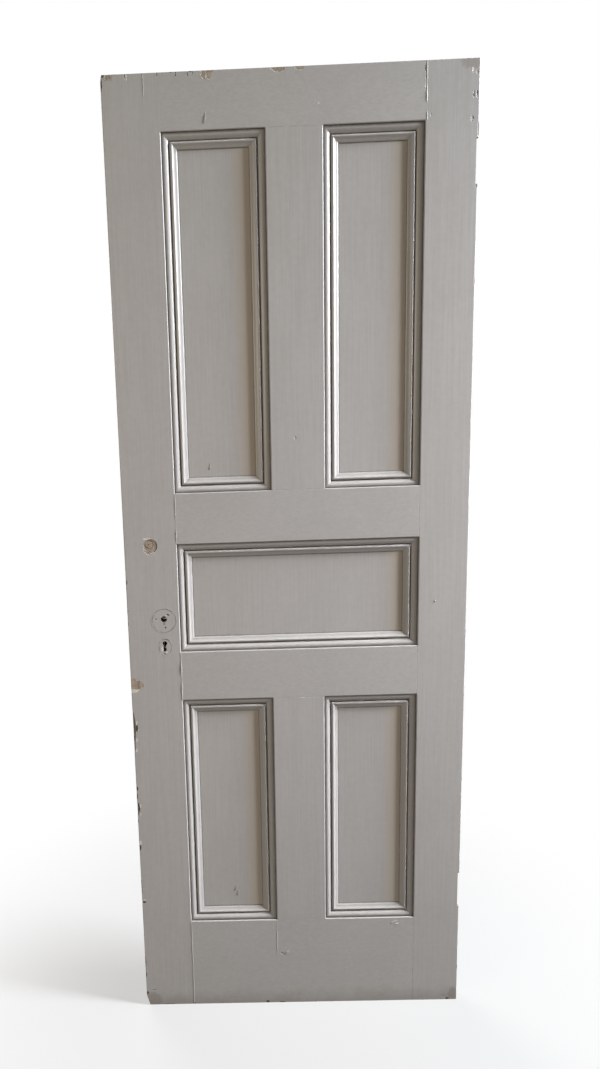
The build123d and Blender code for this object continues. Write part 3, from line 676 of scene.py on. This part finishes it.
def member_seams(graph, place, node_name):
    """Lines over the joints that show on a member."""
    low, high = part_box(node_name)
    xyz = graph.parts(place)
    seams = []
    for rail in RAIL_NAMES:
        if node_name in (rail, "hinge_stile"):
            rail_low, rail_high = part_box(rail)
            open_from = rail_high.z - TOP_SEAM_LENGTH if rail == "top_rail" else rail_low.z
            seams.append(graph.group("seam", Across=xyz["X"], Along=xyz["Z"], Line=HINGE_SHOULDER,
                                     Low=open_from, High=rail_high.z)["Mask"])
    for muntin in MUNTIN_NAMES:
        if node_name in RAIL_NAMES or node_name == muntin:
            muntin_low, muntin_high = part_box(muntin)
            panel_low, panel_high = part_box(muntin.replace("muntin", "left_panel"))
            for line in (panel_low.z + PANEL_TONGUE, panel_high.z - PANEL_TONGUE):
                if low.z - MM < line < high.z + MM:
                    seams.append(graph.group("seam", Across=xyz["Z"], Along=xyz["X"], Line=line, Low=muntin_low.x,
                                             High=muntin_high.x, Half_Width=HAIRLINE)["Mask"])
    return seams


def room_inside(graph, place):
    """How far each point lies inside the leaf's box, along each axis."""
    return graph.parts(graph.vector("SUBTRACT", LEAF_HALF, graph.off(place, LEAF_CENTRE)))


def broken_depth(graph, inside):
    """How deep each point lies in wood that broke off the upright outer edges, and far outside a chip elsewhere."""
    outside = 9.0
    sunk = graph.math("MINIMUM", inside["X"], inside["Y"])
    near_edge = graph.math("LESS_THAN", inside["X"], BROKEN_REACH)
    depth = graph.math("SUBTRACT", graph.math("DIVIDE", sunk, BROKEN_START), 1.0)
    return graph.line(near_edge, outside, graph.math("SUBTRACT", depth, outside))


def side_grime_and_shade(graph, place, inside):
    """A cloudy mask of grime and painted shade that darkens the leaf's two upright narrow sides."""
    clouds = graph.noise(place, scale=24.0, detail=3.0, roughness=0.6)
    narrow_side = graph.ramp(inside["X"], low=0.7 * MM, high=0.1 * MM)
    return graph.times(narrow_side, graph.line(clouds, SIDE_GRIME_AND_SHADE_SWING, SIDE_GRIME_AND_SHADE_LEAST))


def inner_edge_painted_shade(graph, inside):
    """A mask of painted shade on the inner edge of each opening, just above the mouldings."""
    off_edges = graph.math("GREATER_THAN", graph.math("MINIMUM", inside["X"], inside["Z"]), INNER_EDGE_MARGIN)
    return graph.times(off_edges, graph.ramp(inside["Y"], low=0.9 * MM, high=2.4 * MM))


def painted_member(name, stretch, paint, plates=()):
    """Old paint on one member of the frame, with its own chips, raw cuts and joint lines."""
    made, graph, shader, place = new_material(name + "_paint")
    streak, colour = brushed(graph, place, stretch, paint)
    colour = graph.group("foot_dirt", Vector=place, Color=colour, Dirt=paint.dirt, Height=paint.dirt_height)["Color"]
    inside = room_inside(graph, place)
    # Grime and painted shade on the upright narrow sides, in the dirt colour
    colour = graph.mix(side_grime_and_shade(graph, place, inside), colour, paint.dirt)
    # Painted shade down the inner edges of the openings, where the frame stands over the mouldings
    colour = graph.mix(graph.times(inner_edge_painted_shade(graph, inside), INNER_EDGE_SHADE_SHARE), colour, paint.deep_dirt_and_shade)
    timber = graph.group("timber", Vector=place, Stretch=stretch, Light=paint.tan_wood, Dark=paint.old_wood)
    weathered = graph.group("timber", Vector=place, Stretch=stretch, Light=paint.weathered, Dark=paint.splinter)
    height = graph.times(streak, paint.stroke)
    bare_masks = []

    def flake(depth, under, rim, sunk):
        """Takes the paint off where depth is above 0, down to what lies under it."""
        nonlocal colour, height
        flaked = graph.group("flaking", Color=colour, Undercoat=paint.undercoat, Inside=under, Depth=depth, Rim=rim)
        colour = flaked["Color"]
        height = graph.line(flaked["Height"], sunk, height)
        bare_masks.append(flaked["Bare"])

    if name in STAINED_PLACES:
        soft = graph.ramp(chips(graph, place, STAINED_PLACES[name], ragged=14 * MM), low=-0.05, high=0.35)
        colour = graph.mix(graph.times(soft, STAIN_SHARE), colour, paint.old_wood)
    if name in DENTED_PLACES:
        dents = graph.ramp(chips(graph, place, DENTED_PLACES[name], ragged=2 * MM), low=0.0, high=0.8)
        height = graph.line(dents, -paint.film, height)
    if name == "lock_stile":
        # Dirt and painted shade in a thin line round the lost rose and key plate
        rings = graph.largest([graph.group("plate_ring", Vector=place, Centre=centre, Reach=reach,
                                           Half_Width=RING_LINE / reach[0])["Mask"] for centre, reach in plates])
        colour = graph.mix(graph.times(rings, PLATE_RING_SHARE), colour, paint.deep_dirt_and_shade)

    nicks = graph.group("edge_nicks", Vector=place, Centre=LEAF_CENTRE, Half_Size=LEAF_HALF,
                        Reach=paint.edge_wear)["Depth"]
    flake(nicks, paint.splinter, rim=0.10, sunk=paint.film)
    if name in UNDERCOAT_PLACES:
        flake(chips(graph, place, UNDERCOAT_PLACES[name], ragged=3 * MM), paint.undercoat, rim=0.1, sunk=paint.film)
    if name == "lock_stile":
        flake(broken_depth(graph, inside), weathered["Color"], rim=0.2, sunk=paint.film)
    if name in SPLINTERED_PLACES:
        flake(chips(graph, place, SPLINTERED_PLACES[name], ragged=5 * MM), paint.splinter, rim=0.14,
              sunk=2 * paint.film)
    if name in BARE_PLACES:
        flake(chips(graph, place, BARE_PLACES[name], ragged=9 * MM), timber["Color"], rim=0.06, sunk=paint.film)

    raw = graph.largest([graph.group("cut_box", Vector=place, Centre=centre, Half_Size=half)["Mask"]
                         for centre, half in raw_cuts(name)])
    bare_masks.append(raw)
    colour = graph.mix(raw, colour, graph.mix(RAW_CUT_SHARE, timber["Color"], paint.dirt))
    seams = member_seams(graph, place, name)
    if seams:
        crack = graph.largest(seams)
        colour = graph.mix(graph.times(crack, SEAM_SHARE), colour, paint.dirt)
        height = graph.line(crack, -paint.film, height)

    bare = graph.largest(bare_masks)
    height = graph.line(graph.times(timber["Grain"], bare), -GRAIN_DEPTH, height)
    coat(graph, shader, colour, graph.line(bare, BARE_WOOD_ROUGHER, satin(graph, streak, paint)), height)
    return made


def plate_places(marks):
    """Middle and reach of the lost rose and of the lost key plate, on the front face."""
    depth = 5 * MM
    rose = Vector((SPINDLE.x, FRONT, SPINDLE.z - marks.rose_drop))
    plate = Vector((SPINDLE.x, FRONT, SPINDLE.z - marks.key_plate_drop))
    return ((rose, Vector((marks.rose_radius, depth, marks.rose_radius))),
            (plate, Vector((marks.key_plate_half_width, depth, marks.key_plate_half_height))))


def painted_panel(name, paint, moulding_width):
    """Old paint on one panel, with painted warm shade at its right on the front, and dirt and painted shade along the
    foot of its mouldings.
    """
    made, graph, shader, place = new_material(name + "_paint")
    streak, colour = brushed(graph, place, UPRIGHT, paint)
    opening = name.replace("_panel", "")
    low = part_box(f"{opening}_left_moulding_front")[0]
    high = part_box(f"{opening}_right_moulding_front")[1]
    centre = (low + high) / 2
    half = (high - low) / 2 - Vector((moulding_width, 0, moulding_width))
    xyz = graph.parts(place)
    # Painted warm shade, strongest at the right-hand moulding and gone 45 mm from it, on the front face only
    shade = graph.ramp(graph.math("SUBTRACT", centre.x + half.x, xyz["X"]), low=45 * MM, high=2 * MM)
    shade = graph.times(shade, graph.math("LESS_THAN", xyz["Y"], LEAF_CENTRE.y))
    colour = graph.mix(shade, colour, paint.painted_warm_shade)
    # Dirt and painted shade along the foot of the mouldings, darkest within a few millimetres of them
    away = graph.parts(graph.vector("SUBTRACT", half, graph.off(place, centre)))
    near = graph.math("MINIMUM", away["X"], away["Z"])
    uneven = graph.line(graph.noise(place, scale=60.0, detail=3.0, roughness=0.6), PANEL_DIRT_AND_SHADE_SWAY, near)
    dirt_and_shade = graph.times(graph.ramp(uneven, low=3.6 * MM, high=0.6 * MM), PANEL_DIRT_AND_SHADE_SHARE)
    colour = graph.mix(dirt_and_shade, colour, paint.deep_dirt_and_shade)
    coat(graph, shader, colour, satin(graph, streak, paint), graph.times(streak, paint.stroke))
    return made


def painted_strip(name, stretch, paint):
    """Old paint on mouldings, thinner and glossier than on the frame, with dirt and painted shade in their sunk lines,
    at the frame and at the panel.
    """
    made, graph, shader, place = new_material(name)
    streak, colour = brushed(graph, place, stretch, paint)
    # Painted shade and dirt in the sunk line and along both edges of each moulding, in cloudy patches
    crevice = graph.node("ShaderNodeAttribute", attribute_name="crevice").outputs["Fac"]
    clouds = graph.noise(place, scale=45.0, detail=3.0, roughness=0.6)
    dirt_and_shade = graph.times(crevice, graph.ramp(clouds, low=0.0, high=0.55))
    colour = graph.mix(graph.times(dirt_and_shade, CREVICE_DIRT_AND_SHADE_SHARE), colour, paint.deep_dirt_and_shade)
    height = graph.times(streak, 0.6 * paint.stroke)
    coat(graph, shader, colour, satin(graph, streak, paint, STRIP_SWING, STRIP_DROP), height)
    return made


def plain_paint(name, paint):
    """Paint on small ridges and runs."""
    made, graph, shader, place = new_material(name)
    streak = graph.group("brush_marks", Vector=place, Stretch=UPRIGHT)["Streak"]
    colour = graph.mix(graph.ramp(streak, low=0.35, high=0.65), paint.paint_worn, paint.paint)
    coat(graph, shader, colour, satin(graph, streak, paint))
    return made


def plug_finish(paint):
    """The plug's end: bare wood with curved cracks, and filler smeared at its rim."""
    made, graph, shader, place = new_material("plug_finish")
    low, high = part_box("latch_hole_plug")
    radius = (high.x - low.x) / 2
    timber = graph.group("timber", Vector=place, Stretch=(260.0, 60.0, 90.0), Light=paint.tan_wood,
                         Dark=paint.old_wood)
    local = graph.vector("MULTIPLY", graph.vector("SUBTRACT", place, (low + high) / 2), (1.0, 0.0, 1.0))
    out = graph.math("DIVIDE", graph.vector("LENGTH", local), radius)
    rings = graph.node("ShaderNodeTexWave", {"Vector": graph.vector("ADD", local, (4 * MM, 0.0, -3 * MM)),
                                             "Scale": 34.0, "Distortion": 3.0, "Detail": 2.0, "Detail Scale": 3.0},
                       wave_type="RINGS", rings_direction="Y").outputs["Fac"]
    cracks = graph.times(graph.ramp(rings, low=0.25, high=0.02), CRACK_SHARE)
    patches = graph.noise(place, scale=120.0, detail=3.0, roughness=0.6)
    filler = graph.ramp(graph.line(patches, 0.6, out), low=1.12, high=1.28)
    colour = graph.mix(cracks, timber["Color"], paint.old_wood)
    colour = graph.mix(filler, colour, paint.paint_worn)
    coat(graph, shader, colour, PLUG_ROUGHNESS, graph.times(cracks, -CRACK_DEPTH))
    return made


def brad_iron(paint):
    """Dull iron of the cut brads."""
    made, graph, shader, place = new_material("brad_iron")
    rust = graph.noise(place, scale=900.0, detail=4.0, roughness=0.6)
    roughness = graph.line(rust, RUST_ROUGHER, IRON_ROUGHNESS)
    coat(graph, shader, graph.mix(rust, paint.iron, paint.old_wood), roughness)
    shader.inputs["Metallic"].default_value = IRON_METALLIC
    return made


# Meshes

def wear(node_name, finish):
    """Gives a CAD node its finish."""
    materials = frame["nodes"][node_name].data.materials
    materials.clear()
    materials.append(finish)


def piece(name, mesh, finish):
    """A new piece from a finished bmesh, riding on the leaf."""
    bmesh.ops.recalc_face_normals(mesh, faces=mesh.faces)
    data = bpy.data.meshes.new(name)
    mesh.to_mesh(data)
    mesh.free()
    data.materials.append(finish)
    data.shade_smooth()
    data.set_sharp_from_angle(angle=SHARP_ANGLE)
    made = bpy.data.objects.new(name, data)
    bpy.context.scene.collection.objects.link(made)
    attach(made, "root")
    return made


def bowed(start, end, bow, steps):
    """Points after start, up to end, on a shallow arc that stands off its chord by bow."""
    chord = end - start
    off = Vector((-chord.y, chord.x)).normalized() * bow
    shares = [step / steps for step in range(1, steps + 1)]
    return [start + chord * share + off * 4 * share * (1 - share) for share in shares]


def through(start, crest, end, steps):
    """Points after start, up to end, on the circle through three points."""
    a, b = crest - start, end - start
    cross = 2 * (a.x * b.y - a.y * b.x)
    centre = start + Vector((b.y * a.length_squared - a.y * b.length_squared,
                             a.x * b.length_squared - b.x * a.length_squared)) / cross
    first, last = ((point - centre) for point in (start, end))
    sweep = first.angle_signed(last)
    points = []
    for step in range(1, steps + 1):
        turned = first.copy()
        turned.rotate(Matrix.Rotation(-sweep * step / steps, 2))
        points.append(centre + turned)
    return points


def moulding_outline(width, height, section):
    """The moulding's section from the frame inwards, and which of its points are sharp."""
    def at(shares):
        return Vector((shares[0] * width, shares[1] * height))

    foot, top, toe = at((0, 0)), at((0, 1)), at((1, 0))
    fillet, ovolo = at(section.fillet_shares), at(section.ovolo_shares)
    quirk_start, quirk_end = at(section.quirk_start_shares), at(section.quirk_end_shares)
    bead_end, ogee_middle = at(section.bead_end_shares), at(section.ogee_middle_shares)
    ogee_end = at(section.ogee_end_shares)
    points = [foot, top, fillet]
    points += bowed(fillet, ovolo, section.ovolo_bow_share * height, OVOLO_STEPS)
    points += [quirk_start, quirk_end]
    points += through(quirk_end, at(section.bead_crest_shares), bead_end, BEAD_STEPS)
    points += bowed(bead_end, ogee_middle, section.cove_bow_share * height, OGEE_STEPS)
    points += bowed(ogee_middle, ogee_end, section.ogee_bow_share * height, OGEE_STEPS)
    points += [toe]
    return points, (top, fillet, ovolo, quirk_start, quirk_end, bead_end, ogee_end)


def strip_place(node_name, side, face):
    """Where a strip's outer foot line lies, with its length, width and height."""
    low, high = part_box(node_name)
    inward, outward = SIDES[side], FACES[face]
    along = inward.cross(outward)
    size = high - low
    corner = Vector([low[i] if inward[i] + outward[i] > 0 else high[i] for i in range(3)])
    middle = (low + high) / 2
    origin = Vector([middle[i] if abs(along[i]) > 0.5 else corner[i] for i in range(3)])
    place = Matrix((along, inward, outward)).transposed().to_4x4()
    place.translation = origin
    return place, abs(size.dot(along)), abs(size.dot(inward)), abs(size.dot(outward))


def moulding_strip(node_name, side, face, section, finish):
    """One mitred strip in place of its plain CAD solid, with edges softened by paint."""
    place, length, width, height = strip_place(node_name, side, face)
    outline, sharp = moulding_outline(width, height, section)
    mesh = bmesh.new()
    corners = [mesh.verts.new((-length / 2, point.x, point.y)) for point in outline]
    mesh.faces.new(corners)
    keen = [corner for corner, point in zip(corners, outline)
            if any((point - keep).length < SAME_POINT for keep in sharp)]
    bmesh.ops.bevel(mesh, geom=keen, offset=section.softness, affect="VERTICES", segments=3, profile=0.5,
                    material=-1)
    swept = bmesh.ops.extrude_face_region(mesh, geom=mesh.faces[:])["geom"]
    bmesh.ops.translate(mesh, vec=(length, 0, 0), verts=[v for v in swept if isinstance(v, bmesh.types.BMVert)])
    for end in (-1, 1):
        cut = bmesh.ops.bisect_plane(mesh, geom=mesh.verts[:] + mesh.edges[:] + mesh.faces[:], dist=CUT_SLACK,
                                     plane_co=(end * length / 2, 0, 0), plane_no=(end, 1, 0), clear_outer=True)
        bmesh.ops.holes_fill(mesh, edges=[e for e in cut["geom_cut"] if isinstance(e, bmesh.types.BMEdge)], sides=0)
    # Painted shade, with dirt: how dark each point lies in the sunk line, beside the frame and at the panel
    crevice = mesh.verts.layers.float.new("crevice")
    quirk = (section.quirk_start_shares[0] + section.quirk_end_shares[0]) / 2
    for vert in mesh.verts:
        across, up = vert.co.y / width, vert.co.z / height
        in_quirk = 0
        if up < SUNK_LINE_TOP_SHARE:
            in_quirk = SUNK_LINE_STRENGTH - abs(across - quirk) / SUNK_LINE_SHARE
        at_frame = FRAME_LINE_STRENGTH - across / SUNK_LINE_SHARE
        at_panel = 1 - (1 - across) / PANEL_LINE_SHARE
        vert[crevice] = max(0, min(1, max(in_quirk, at_frame, at_panel)))
    mesh.transform(place)
    made = piece(node_name.replace("moulding", "strip"), mesh, finish)
    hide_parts(node_name)
    return made


def ridge_ring(mesh, centre, half_width, half_height, marks, seed):
    """A low ring of paint on the front face, thinner in some places than in others."""
    ring = bmesh.new()
    rise, spread = marks.ridge_height / 2, marks.ridge_width / 3
    section = [ring.verts.new((half_width + x, y, 0)) for x, y in
               ((-spread, rise * 0.2), (-spread * 0.3, -rise), (spread * 0.2, -rise), (spread, rise * 0.2))]
    edges = [ring.edges.new((section[i], section[(i + 1) % 4])) for i in range(4)]
    bmesh.ops.spin(ring, geom=section + edges, cent=(0, 0, 0), axis=(0, 1, 0), angle=math.tau, steps=96,
                   use_merge=True)
    for vert in ring.verts:
        turn = Vector((vert.co.x, vert.co.z)).normalized()
        shape = Vector((turn.x * RING_CHANGES, turn.y * RING_CHANGES, seed))
        vert.co.y *= max(RING_LEAST, RING_MEAN + RING_SWING * noise.noise(shape))
        push = 1 + RING_STRAY * noise.noise(shape * RING_STRAY_CHANGES)
        vert.co.x *= push
        vert.co.z *= push * half_height / half_width
    ring.transform(Matrix.Translation(centre))
    data = bpy.data.meshes.new("ring")
    ring.to_mesh(data)
    ring.free()
    mesh.from_mesh(data)
    bpy.data.meshes.remove(data)


def ridge_line(mesh, across, low, high, marks, strength, seed):
    """A low line of paint on the front face that follows a joint and sways a little."""
    start = len(mesh.verts)
    block = bmesh.ops.create_cube(mesh, size=1)["verts"]
    width = marks.ridge_width * (0.5 + 0.5 * strength)
    bmesh.ops.scale(mesh, verts=block, vec=(width, 2 * marks.ridge_height * strength, high - low))
    bmesh.ops.translate(mesh, verts=block, vec=(across, FRONT, (low + high) / 2))
    uprights = [edge for edge in {e for v in block for e in v.link_edges} if abs(
        edge.verts[0].co.z - edge.verts[1].co.z) > (high - low) / 2]
    bmesh.ops.subdivide_edges(mesh, edges=uprights, cuts=max(4, round((high - low) / (6 * MM))), use_grid_fill=True)
    mesh.verts.ensure_lookup_table()
    for vert in mesh.verts[start:]:
        along = vert.co.z * RIDGE_CHANGES
        sway = RIDGE_SWAY * noise.noise(Vector((along * RIDGE_SWAY_SLOWER, seed, 0)))
        crest = vert.co.y < FRONT
        side = vert.co.x - across
        if crest:
            side = side * CREST_WIDTH_SHARE - CREST_LEAN_SHARE * width
            height = max(RIDGE_LEAST, RIDGE_MEAN + noise.noise(Vector((along, seed, 3))))
            vert.co.y = FRONT + (vert.co.y - FRONT) * height
        vert.co.x = across + side + sway


def joint_ridges():
    """The lines of paint over the joints: across, low and high end, strength and seed."""
    ridges = []
    for seed, (rail, strength) in enumerate(RAIL_RIDGES.items()):
        low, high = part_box(rail)
        ridges.append((LOCK_SHOULDER, low.z + 3 * MM, high.z - 3 * MM, strength, seed))
    low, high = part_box("top_rail")
    ridges.append((HINGE_SHOULDER + 3 * MM, high.z - 72 * MM, high.z, 1.15, 7))
    ridges.append((HINGE_SHOULDER + 4 * MM, low.z + MM, low.z + 15 * MM, 1.3, 5))
    ridges.append((LOCK_EDGE + 81 * MM, high.z - 40 * MM, high.z, 0.8, 9))
    low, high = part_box("bottom_rail")
    ridges.append((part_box("lower_muntin")[0].x, high.z - 88 * MM, high.z - 8 * MM, 0.9, 11))
    return ridges


def paint_run(mesh, across, up, width, length, turn, rise):
    """One drop of paint that ran down and set, thicker at its lower end."""
    drop = bmesh.ops.create_uvsphere(mesh, u_segments=16, v_segments=12, radius=1)["verts"]
    for vert in drop:
        swell = 1 - 0.45 * vert.co.z
        vert.co.x *= swell
        vert.co.y *= swell
    bmesh.ops.scale(mesh, verts=drop, vec=(width * MM / 2, rise, length * MM / 2))
    for vert in drop:
        vert.co.x -= 0.35 * width * MM * vert.co.y / rise
    bmesh.ops.rotate(mesh, verts=drop, cent=(0, 0, 0), matrix=Matrix.Rotation(math.radians(turn), 3, "Y"))
    bmesh.ops.translate(mesh, verts=drop, vec=leaf_point(across, up))
    return drop


# Operators

class DOOR_OT_paint_frame(bpy.types.Operator):
    """Paint the stiles, rails and muntins, and the wedge ends between them"""
    bl_idname = "door.paint_frame"
    bl_label = "Paint the frame"

    def execute(self, context):
        paint = context.scene.leaf_paint
        make_groups()
        plates = plate_places(context.scene.leaf_marks)
        for name in STILE_NAMES + MUNTIN_NAMES:
            wear(name, painted_member(name, UPRIGHT, paint, plates))
        for name in RAIL_NAMES:
            wear(name, painted_member(name, LEVEL, paint))
        wear("tenon_wedges", painted_member("tenon_wedges", LEVEL, paint))
        wear("moulding_brads", brad_iron(paint))
        return {"FINISHED"}


class DOOR_OT_paint_panels(bpy.types.Operator):
    """Paint the five panels"""
    bl_idname = "door.paint_panels"
    bl_label = "Paint the panels"

    def execute(self, context):
        low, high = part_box("upper_left_left_moulding_front")
        for opening in OPENING_NAMES:
            name = opening + "_panel"
            wear(name, painted_panel(name, context.scene.leaf_paint, high.x - low.x))
        return {"FINISHED"}


class DOOR_OT_plant_mouldings(bpy.types.Operator):
    """Plant the mitred mouldings round each panel, on both faces"""
    bl_idname = "door.plant_mouldings"
    bl_label = "Plant the mouldings"

    def execute(self, context):
        paint = context.scene.leaf_paint
        section = context.scene.leaf_moulding
        upright = painted_strip("upright_moulding_paint", UPRIGHT, paint)
        level = painted_strip("level_moulding_paint", LEVEL, paint)
        for opening in OPENING_NAMES:
            for side, inward in SIDES.items():
                for face in FACES:
                    finish = upright if inward.x else level
                    moulding_strip(f"{opening}_{side}_moulding_{face}", side, face, section, finish)
        return {"FINISHED"}


class DOOR_OT_fill_latch_hole(bpy.types.Operator):
    """Finish the plug that fills the older hole in the lock stile"""
    bl_idname = "door.fill_latch_hole"
    bl_label = "Fill the latch hole"

    def execute(self, context):
        wear("latch_hole_plug", plug_finish(context.scene.leaf_paint))
        return {"FINISHED"}


class DOOR_OT_leave_marks(bpy.types.Operator):
    """Raise the ridges of paint that the rose and the key plate left, and those over the joints"""
    bl_idname = "door.leave_marks"
    bl_label = "Leave the marks"

    def execute(self, context):
        marks = context.scene.leaf_marks
        finish = plain_paint("ridge_paint", context.scene.leaf_paint)
        rings = bmesh.new()
        rim = marks.ridge_width / 2
        for seed, (centre, reach) in enumerate(plate_places(marks)):
            ridge_ring(rings, centre, reach.x + rim, reach.z + rim, marks, 5 * seed)
        piece("plate_rings", rings, finish)
        lines = bmesh.new()
        for across, low, high, strength, seed in joint_ridges():
            ridge_line(lines, across, low, high, marks, strength, seed)
        piece("joint_ridges", lines, finish)
        return {"FINISHED"}


class DOOR_OT_run_paint(bpy.types.Operator):
    """Add the runs of paint on the frame and the panels"""
    bl_idname = "door.run_paint"
    bl_label = "Run the paint"

    def execute(self, context):
        finish = plain_paint("run_paint", context.scene.leaf_paint)
        rise = context.scene.leaf_marks.run_height
        panel_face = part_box("upper_left_panel")[0].y
        for name, runs, face, slot in (("frame_runs", FRAME_RUNS, FRONT, "frame_paint"),
                                       ("panel_runs", PANEL_RUNS, panel_face, "panel_paint")):
            mesh = bmesh.new()
            for run in runs:
                drop = paint_run(mesh, *run, rise)
                bmesh.ops.translate(mesh, verts=drop, vec=(0, face - FRONT, 0))
            piece(name, mesh, finish)
        return {"FINISHED"}


def seen_rays(graph):
    """1 for rays that show the surroundings as they look, in the camera, in gloss and through glass."""
    path = graph.node("ShaderNodeLightPath").outputs
    return graph.largest([path["Is Camera Ray"], path["Is Glossy Ray"], path["Is Transmission Ray"]])


class DOOR_OT_set_stage(bpy.types.Operator):
    """Set the camera, the lamps, the black card of painted shade, the pale floor and the white surroundings"""
    bl_idname = "door.set_stage"
    bl_label = "Set the stage"

    def execute(self, context):
        stage = context.scene.leaf_stage
        self.add_camera(context, stage)
        for name in LAMPS:
            self.add_lamp(context, name, getattr(stage, name.replace("light", "power")))
        self.add_painted_shade_card(context)
        self.add_floor(context, stage)
        self.set_world(context, stage)
        context.scene.view_settings.view_transform = "Standard"
        return {"FINISHED"}

    def add_camera(self, context, stage):
        data = bpy.data.cameras.new("camera")
        data.sensor_fit = "AUTO"
        data.sensor_width = 36
        data.lens = stage.lens
        data.shift_x = stage.camera_shift
        camera = bpy.data.objects.new("camera", data)
        camera.location = stage.camera_place
        camera.rotation_euler = Euler([math.radians(turn) for turn in stage.camera_turn], "XYZ")
        context.scene.collection.objects.link(camera)
        context.scene.camera = camera

    def add_lamp(self, context, name, power):
        place, aim, size, colour, spread = LAMPS[name]
        data = bpy.data.lights.new(name, "AREA")
        data.shape = "RECTANGLE"
        data.size, data.size_y = size
        data.energy = power
        data.color = colour
        data.spread = math.radians(spread)
        lamp = bpy.data.objects.new(name, data)
        lamp.location = place
        lamp.rotation_euler = (Vector(aim) - Vector(place)).to_track_quat("-Z", "Y").to_euler()
        context.scene.collection.objects.link(lamp)

    def stand(self, context, name, mesh, finish):
        """A piece of the stage from a finished bmesh."""
        data = bpy.data.meshes.new(name)
        mesh.to_mesh(data)
        mesh.free()
        data.materials.append(finish)
        made = bpy.data.objects.new(name, data)
        context.scene.collection.objects.link(made)
        return made

    def add_painted_shade_card(self, context):
        """A black upright card of painted shade behind the lock's holes, seen through them from the front and never
        from behind.
        """
        middle = Vector((SPINDLE.x, BACK + SHADE_CARD_GAP, SPINDLE.z - SHADE_CARD_DROP))
        mesh = bmesh.new()
        corners = bmesh.ops.create_grid(mesh, x_segments=1, y_segments=1, size=1)["verts"]
        bmesh.ops.rotate(mesh, verts=corners, cent=(0, 0, 0), matrix=Matrix.Rotation(math.radians(90), 3, "X"))
        bmesh.ops.scale(mesh, verts=corners, vec=SHADE_CARD_REACH)
        bmesh.ops.translate(mesh, verts=corners, vec=middle)
        made, graph, shader, _ = new_material("dark_card")
        shader.inputs["Base Color"].default_value = BLACK
        shader.inputs["Roughness"].default_value = 1.0
        shader.inputs["Specular IOR Level"].default_value = 0.0
        behind = graph.node("ShaderNodeNewGeometry").outputs["Backfacing"]
        clear = graph.node("ShaderNodeBsdfTransparent")
        shown = graph.node("ShaderNodeMixShader", {0: behind, 1: shader.outputs[0], 2: clear.outputs[0]})
        graph.feed(made.node_tree.nodes["Material Output"].inputs["Surface"], shown.outputs[0])
        card = self.stand(context, "dark_card", mesh, made)
        card.visible_diffuse = card.visible_glossy = card.visible_transmission = card.visible_shadow = False

    def add_floor(self, context, stage):
        mesh = bmesh.new()
        bmesh.ops.create_circle(mesh, cap_ends=True, segments=96, radius=stage.floor_radius)
        bmesh.ops.translate(mesh, verts=mesh.verts, vec=(0, 0, LEAF_FOOT - FLOOR_GAP))
        self.stand(context, "floor", mesh, self.floor_finish(stage))

    def floor_finish(self, stage):
        """Pale and dull, and white where it is seen away from the leaf."""
        made, graph, shader, place = new_material("pale_floor")
        shader.inputs["Roughness"].default_value = 0.9
        shader.inputs["Specular IOR Level"].default_value = 0.1
        seen = seen_rays(graph)
        graph.feed(shader.inputs["Base Color"], graph.mix(seen, stage.floor_bounce, stage.floor_colour))
        far = graph.ramp(graph.vector("LENGTH", place), low=FLOOR_WHITE_FROM, high=FLOOR_WHITE_AT)
        whiteness = graph.times(graph.line(far, 1 - FLOOR_WHITE_SHARE, FLOOR_WHITE_SHARE), seen)
        white = graph.node("ShaderNodeEmission", {"Color": WHITE, "Strength": 1.0})
        blend = graph.node("ShaderNodeMixShader", {0: whiteness, 1: shader.outputs[0], 2: white.outputs[0]})
        graph.feed(made.node_tree.nodes["Material Output"].inputs["Surface"], blend.outputs[0])
        return made

    def set_world(self, context, stage):
        world = bpy.data.worlds.new("studio")
        world.use_nodes = True
        context.scene.world = world
        graph = Graph(world.node_tree)
        background = world.node_tree.nodes["Background"]
        graph.feed(background.inputs["Color"], graph.mix(seen_rays(graph), stage.room_colour, WHITE))
        background.inputs["Strength"].default_value = 1.0


class DOOR_PT_leaf(bpy.types.Panel):
    """Lists the steps that dress the leaf, with their settings"""
    bl_idname = "DOOR_PT_leaf"
    bl_label = "Door Leaf"
    bl_space_type = "VIEW_3D"
    bl_region_type = "UI"
    bl_category = "Door Leaf"

    def draw(self, context):
        for operator in OPERATORS:
            self.layout.operator(operator.bl_idname)
        for name, group in SETTINGS.items():
            box = self.layout.box()
            for setting in group.__annotations__:
                box.prop(getattr(context.scene, name), setting)


OPERATORS = (DOOR_OT_set_stage, DOOR_OT_paint_frame, DOOR_OT_paint_panels, DOOR_OT_plant_mouldings,
             DOOR_OT_fill_latch_hole, DOOR_OT_leave_marks, DOOR_OT_run_paint)
CLASSES = (*SETTINGS.values(), *OPERATORS, DOOR_PT_leaf)


def register():
    for made in CLASSES:
        bpy.utils.register_class(made)
    for name, group in SETTINGS.items():
        setattr(bpy.types.Scene, name, PointerProperty(type=group))


def unregister():
    for name in SETTINGS:
        delattr(bpy.types.Scene, name)
    for made in reversed(CLASSES):
        bpy.utils.unregister_class(made)


def main():
    register()
    bpy.ops.door.paint_frame()
    bpy.ops.door.paint_panels()
    bpy.ops.door.plant_mouldings()
    bpy.ops.door.fill_latch_hole()
    bpy.ops.door.leave_marks()
    bpy.ops.door.run_paint()
    bpy.ops.door.set_stage()


if __name__ == "__main__":
    main()
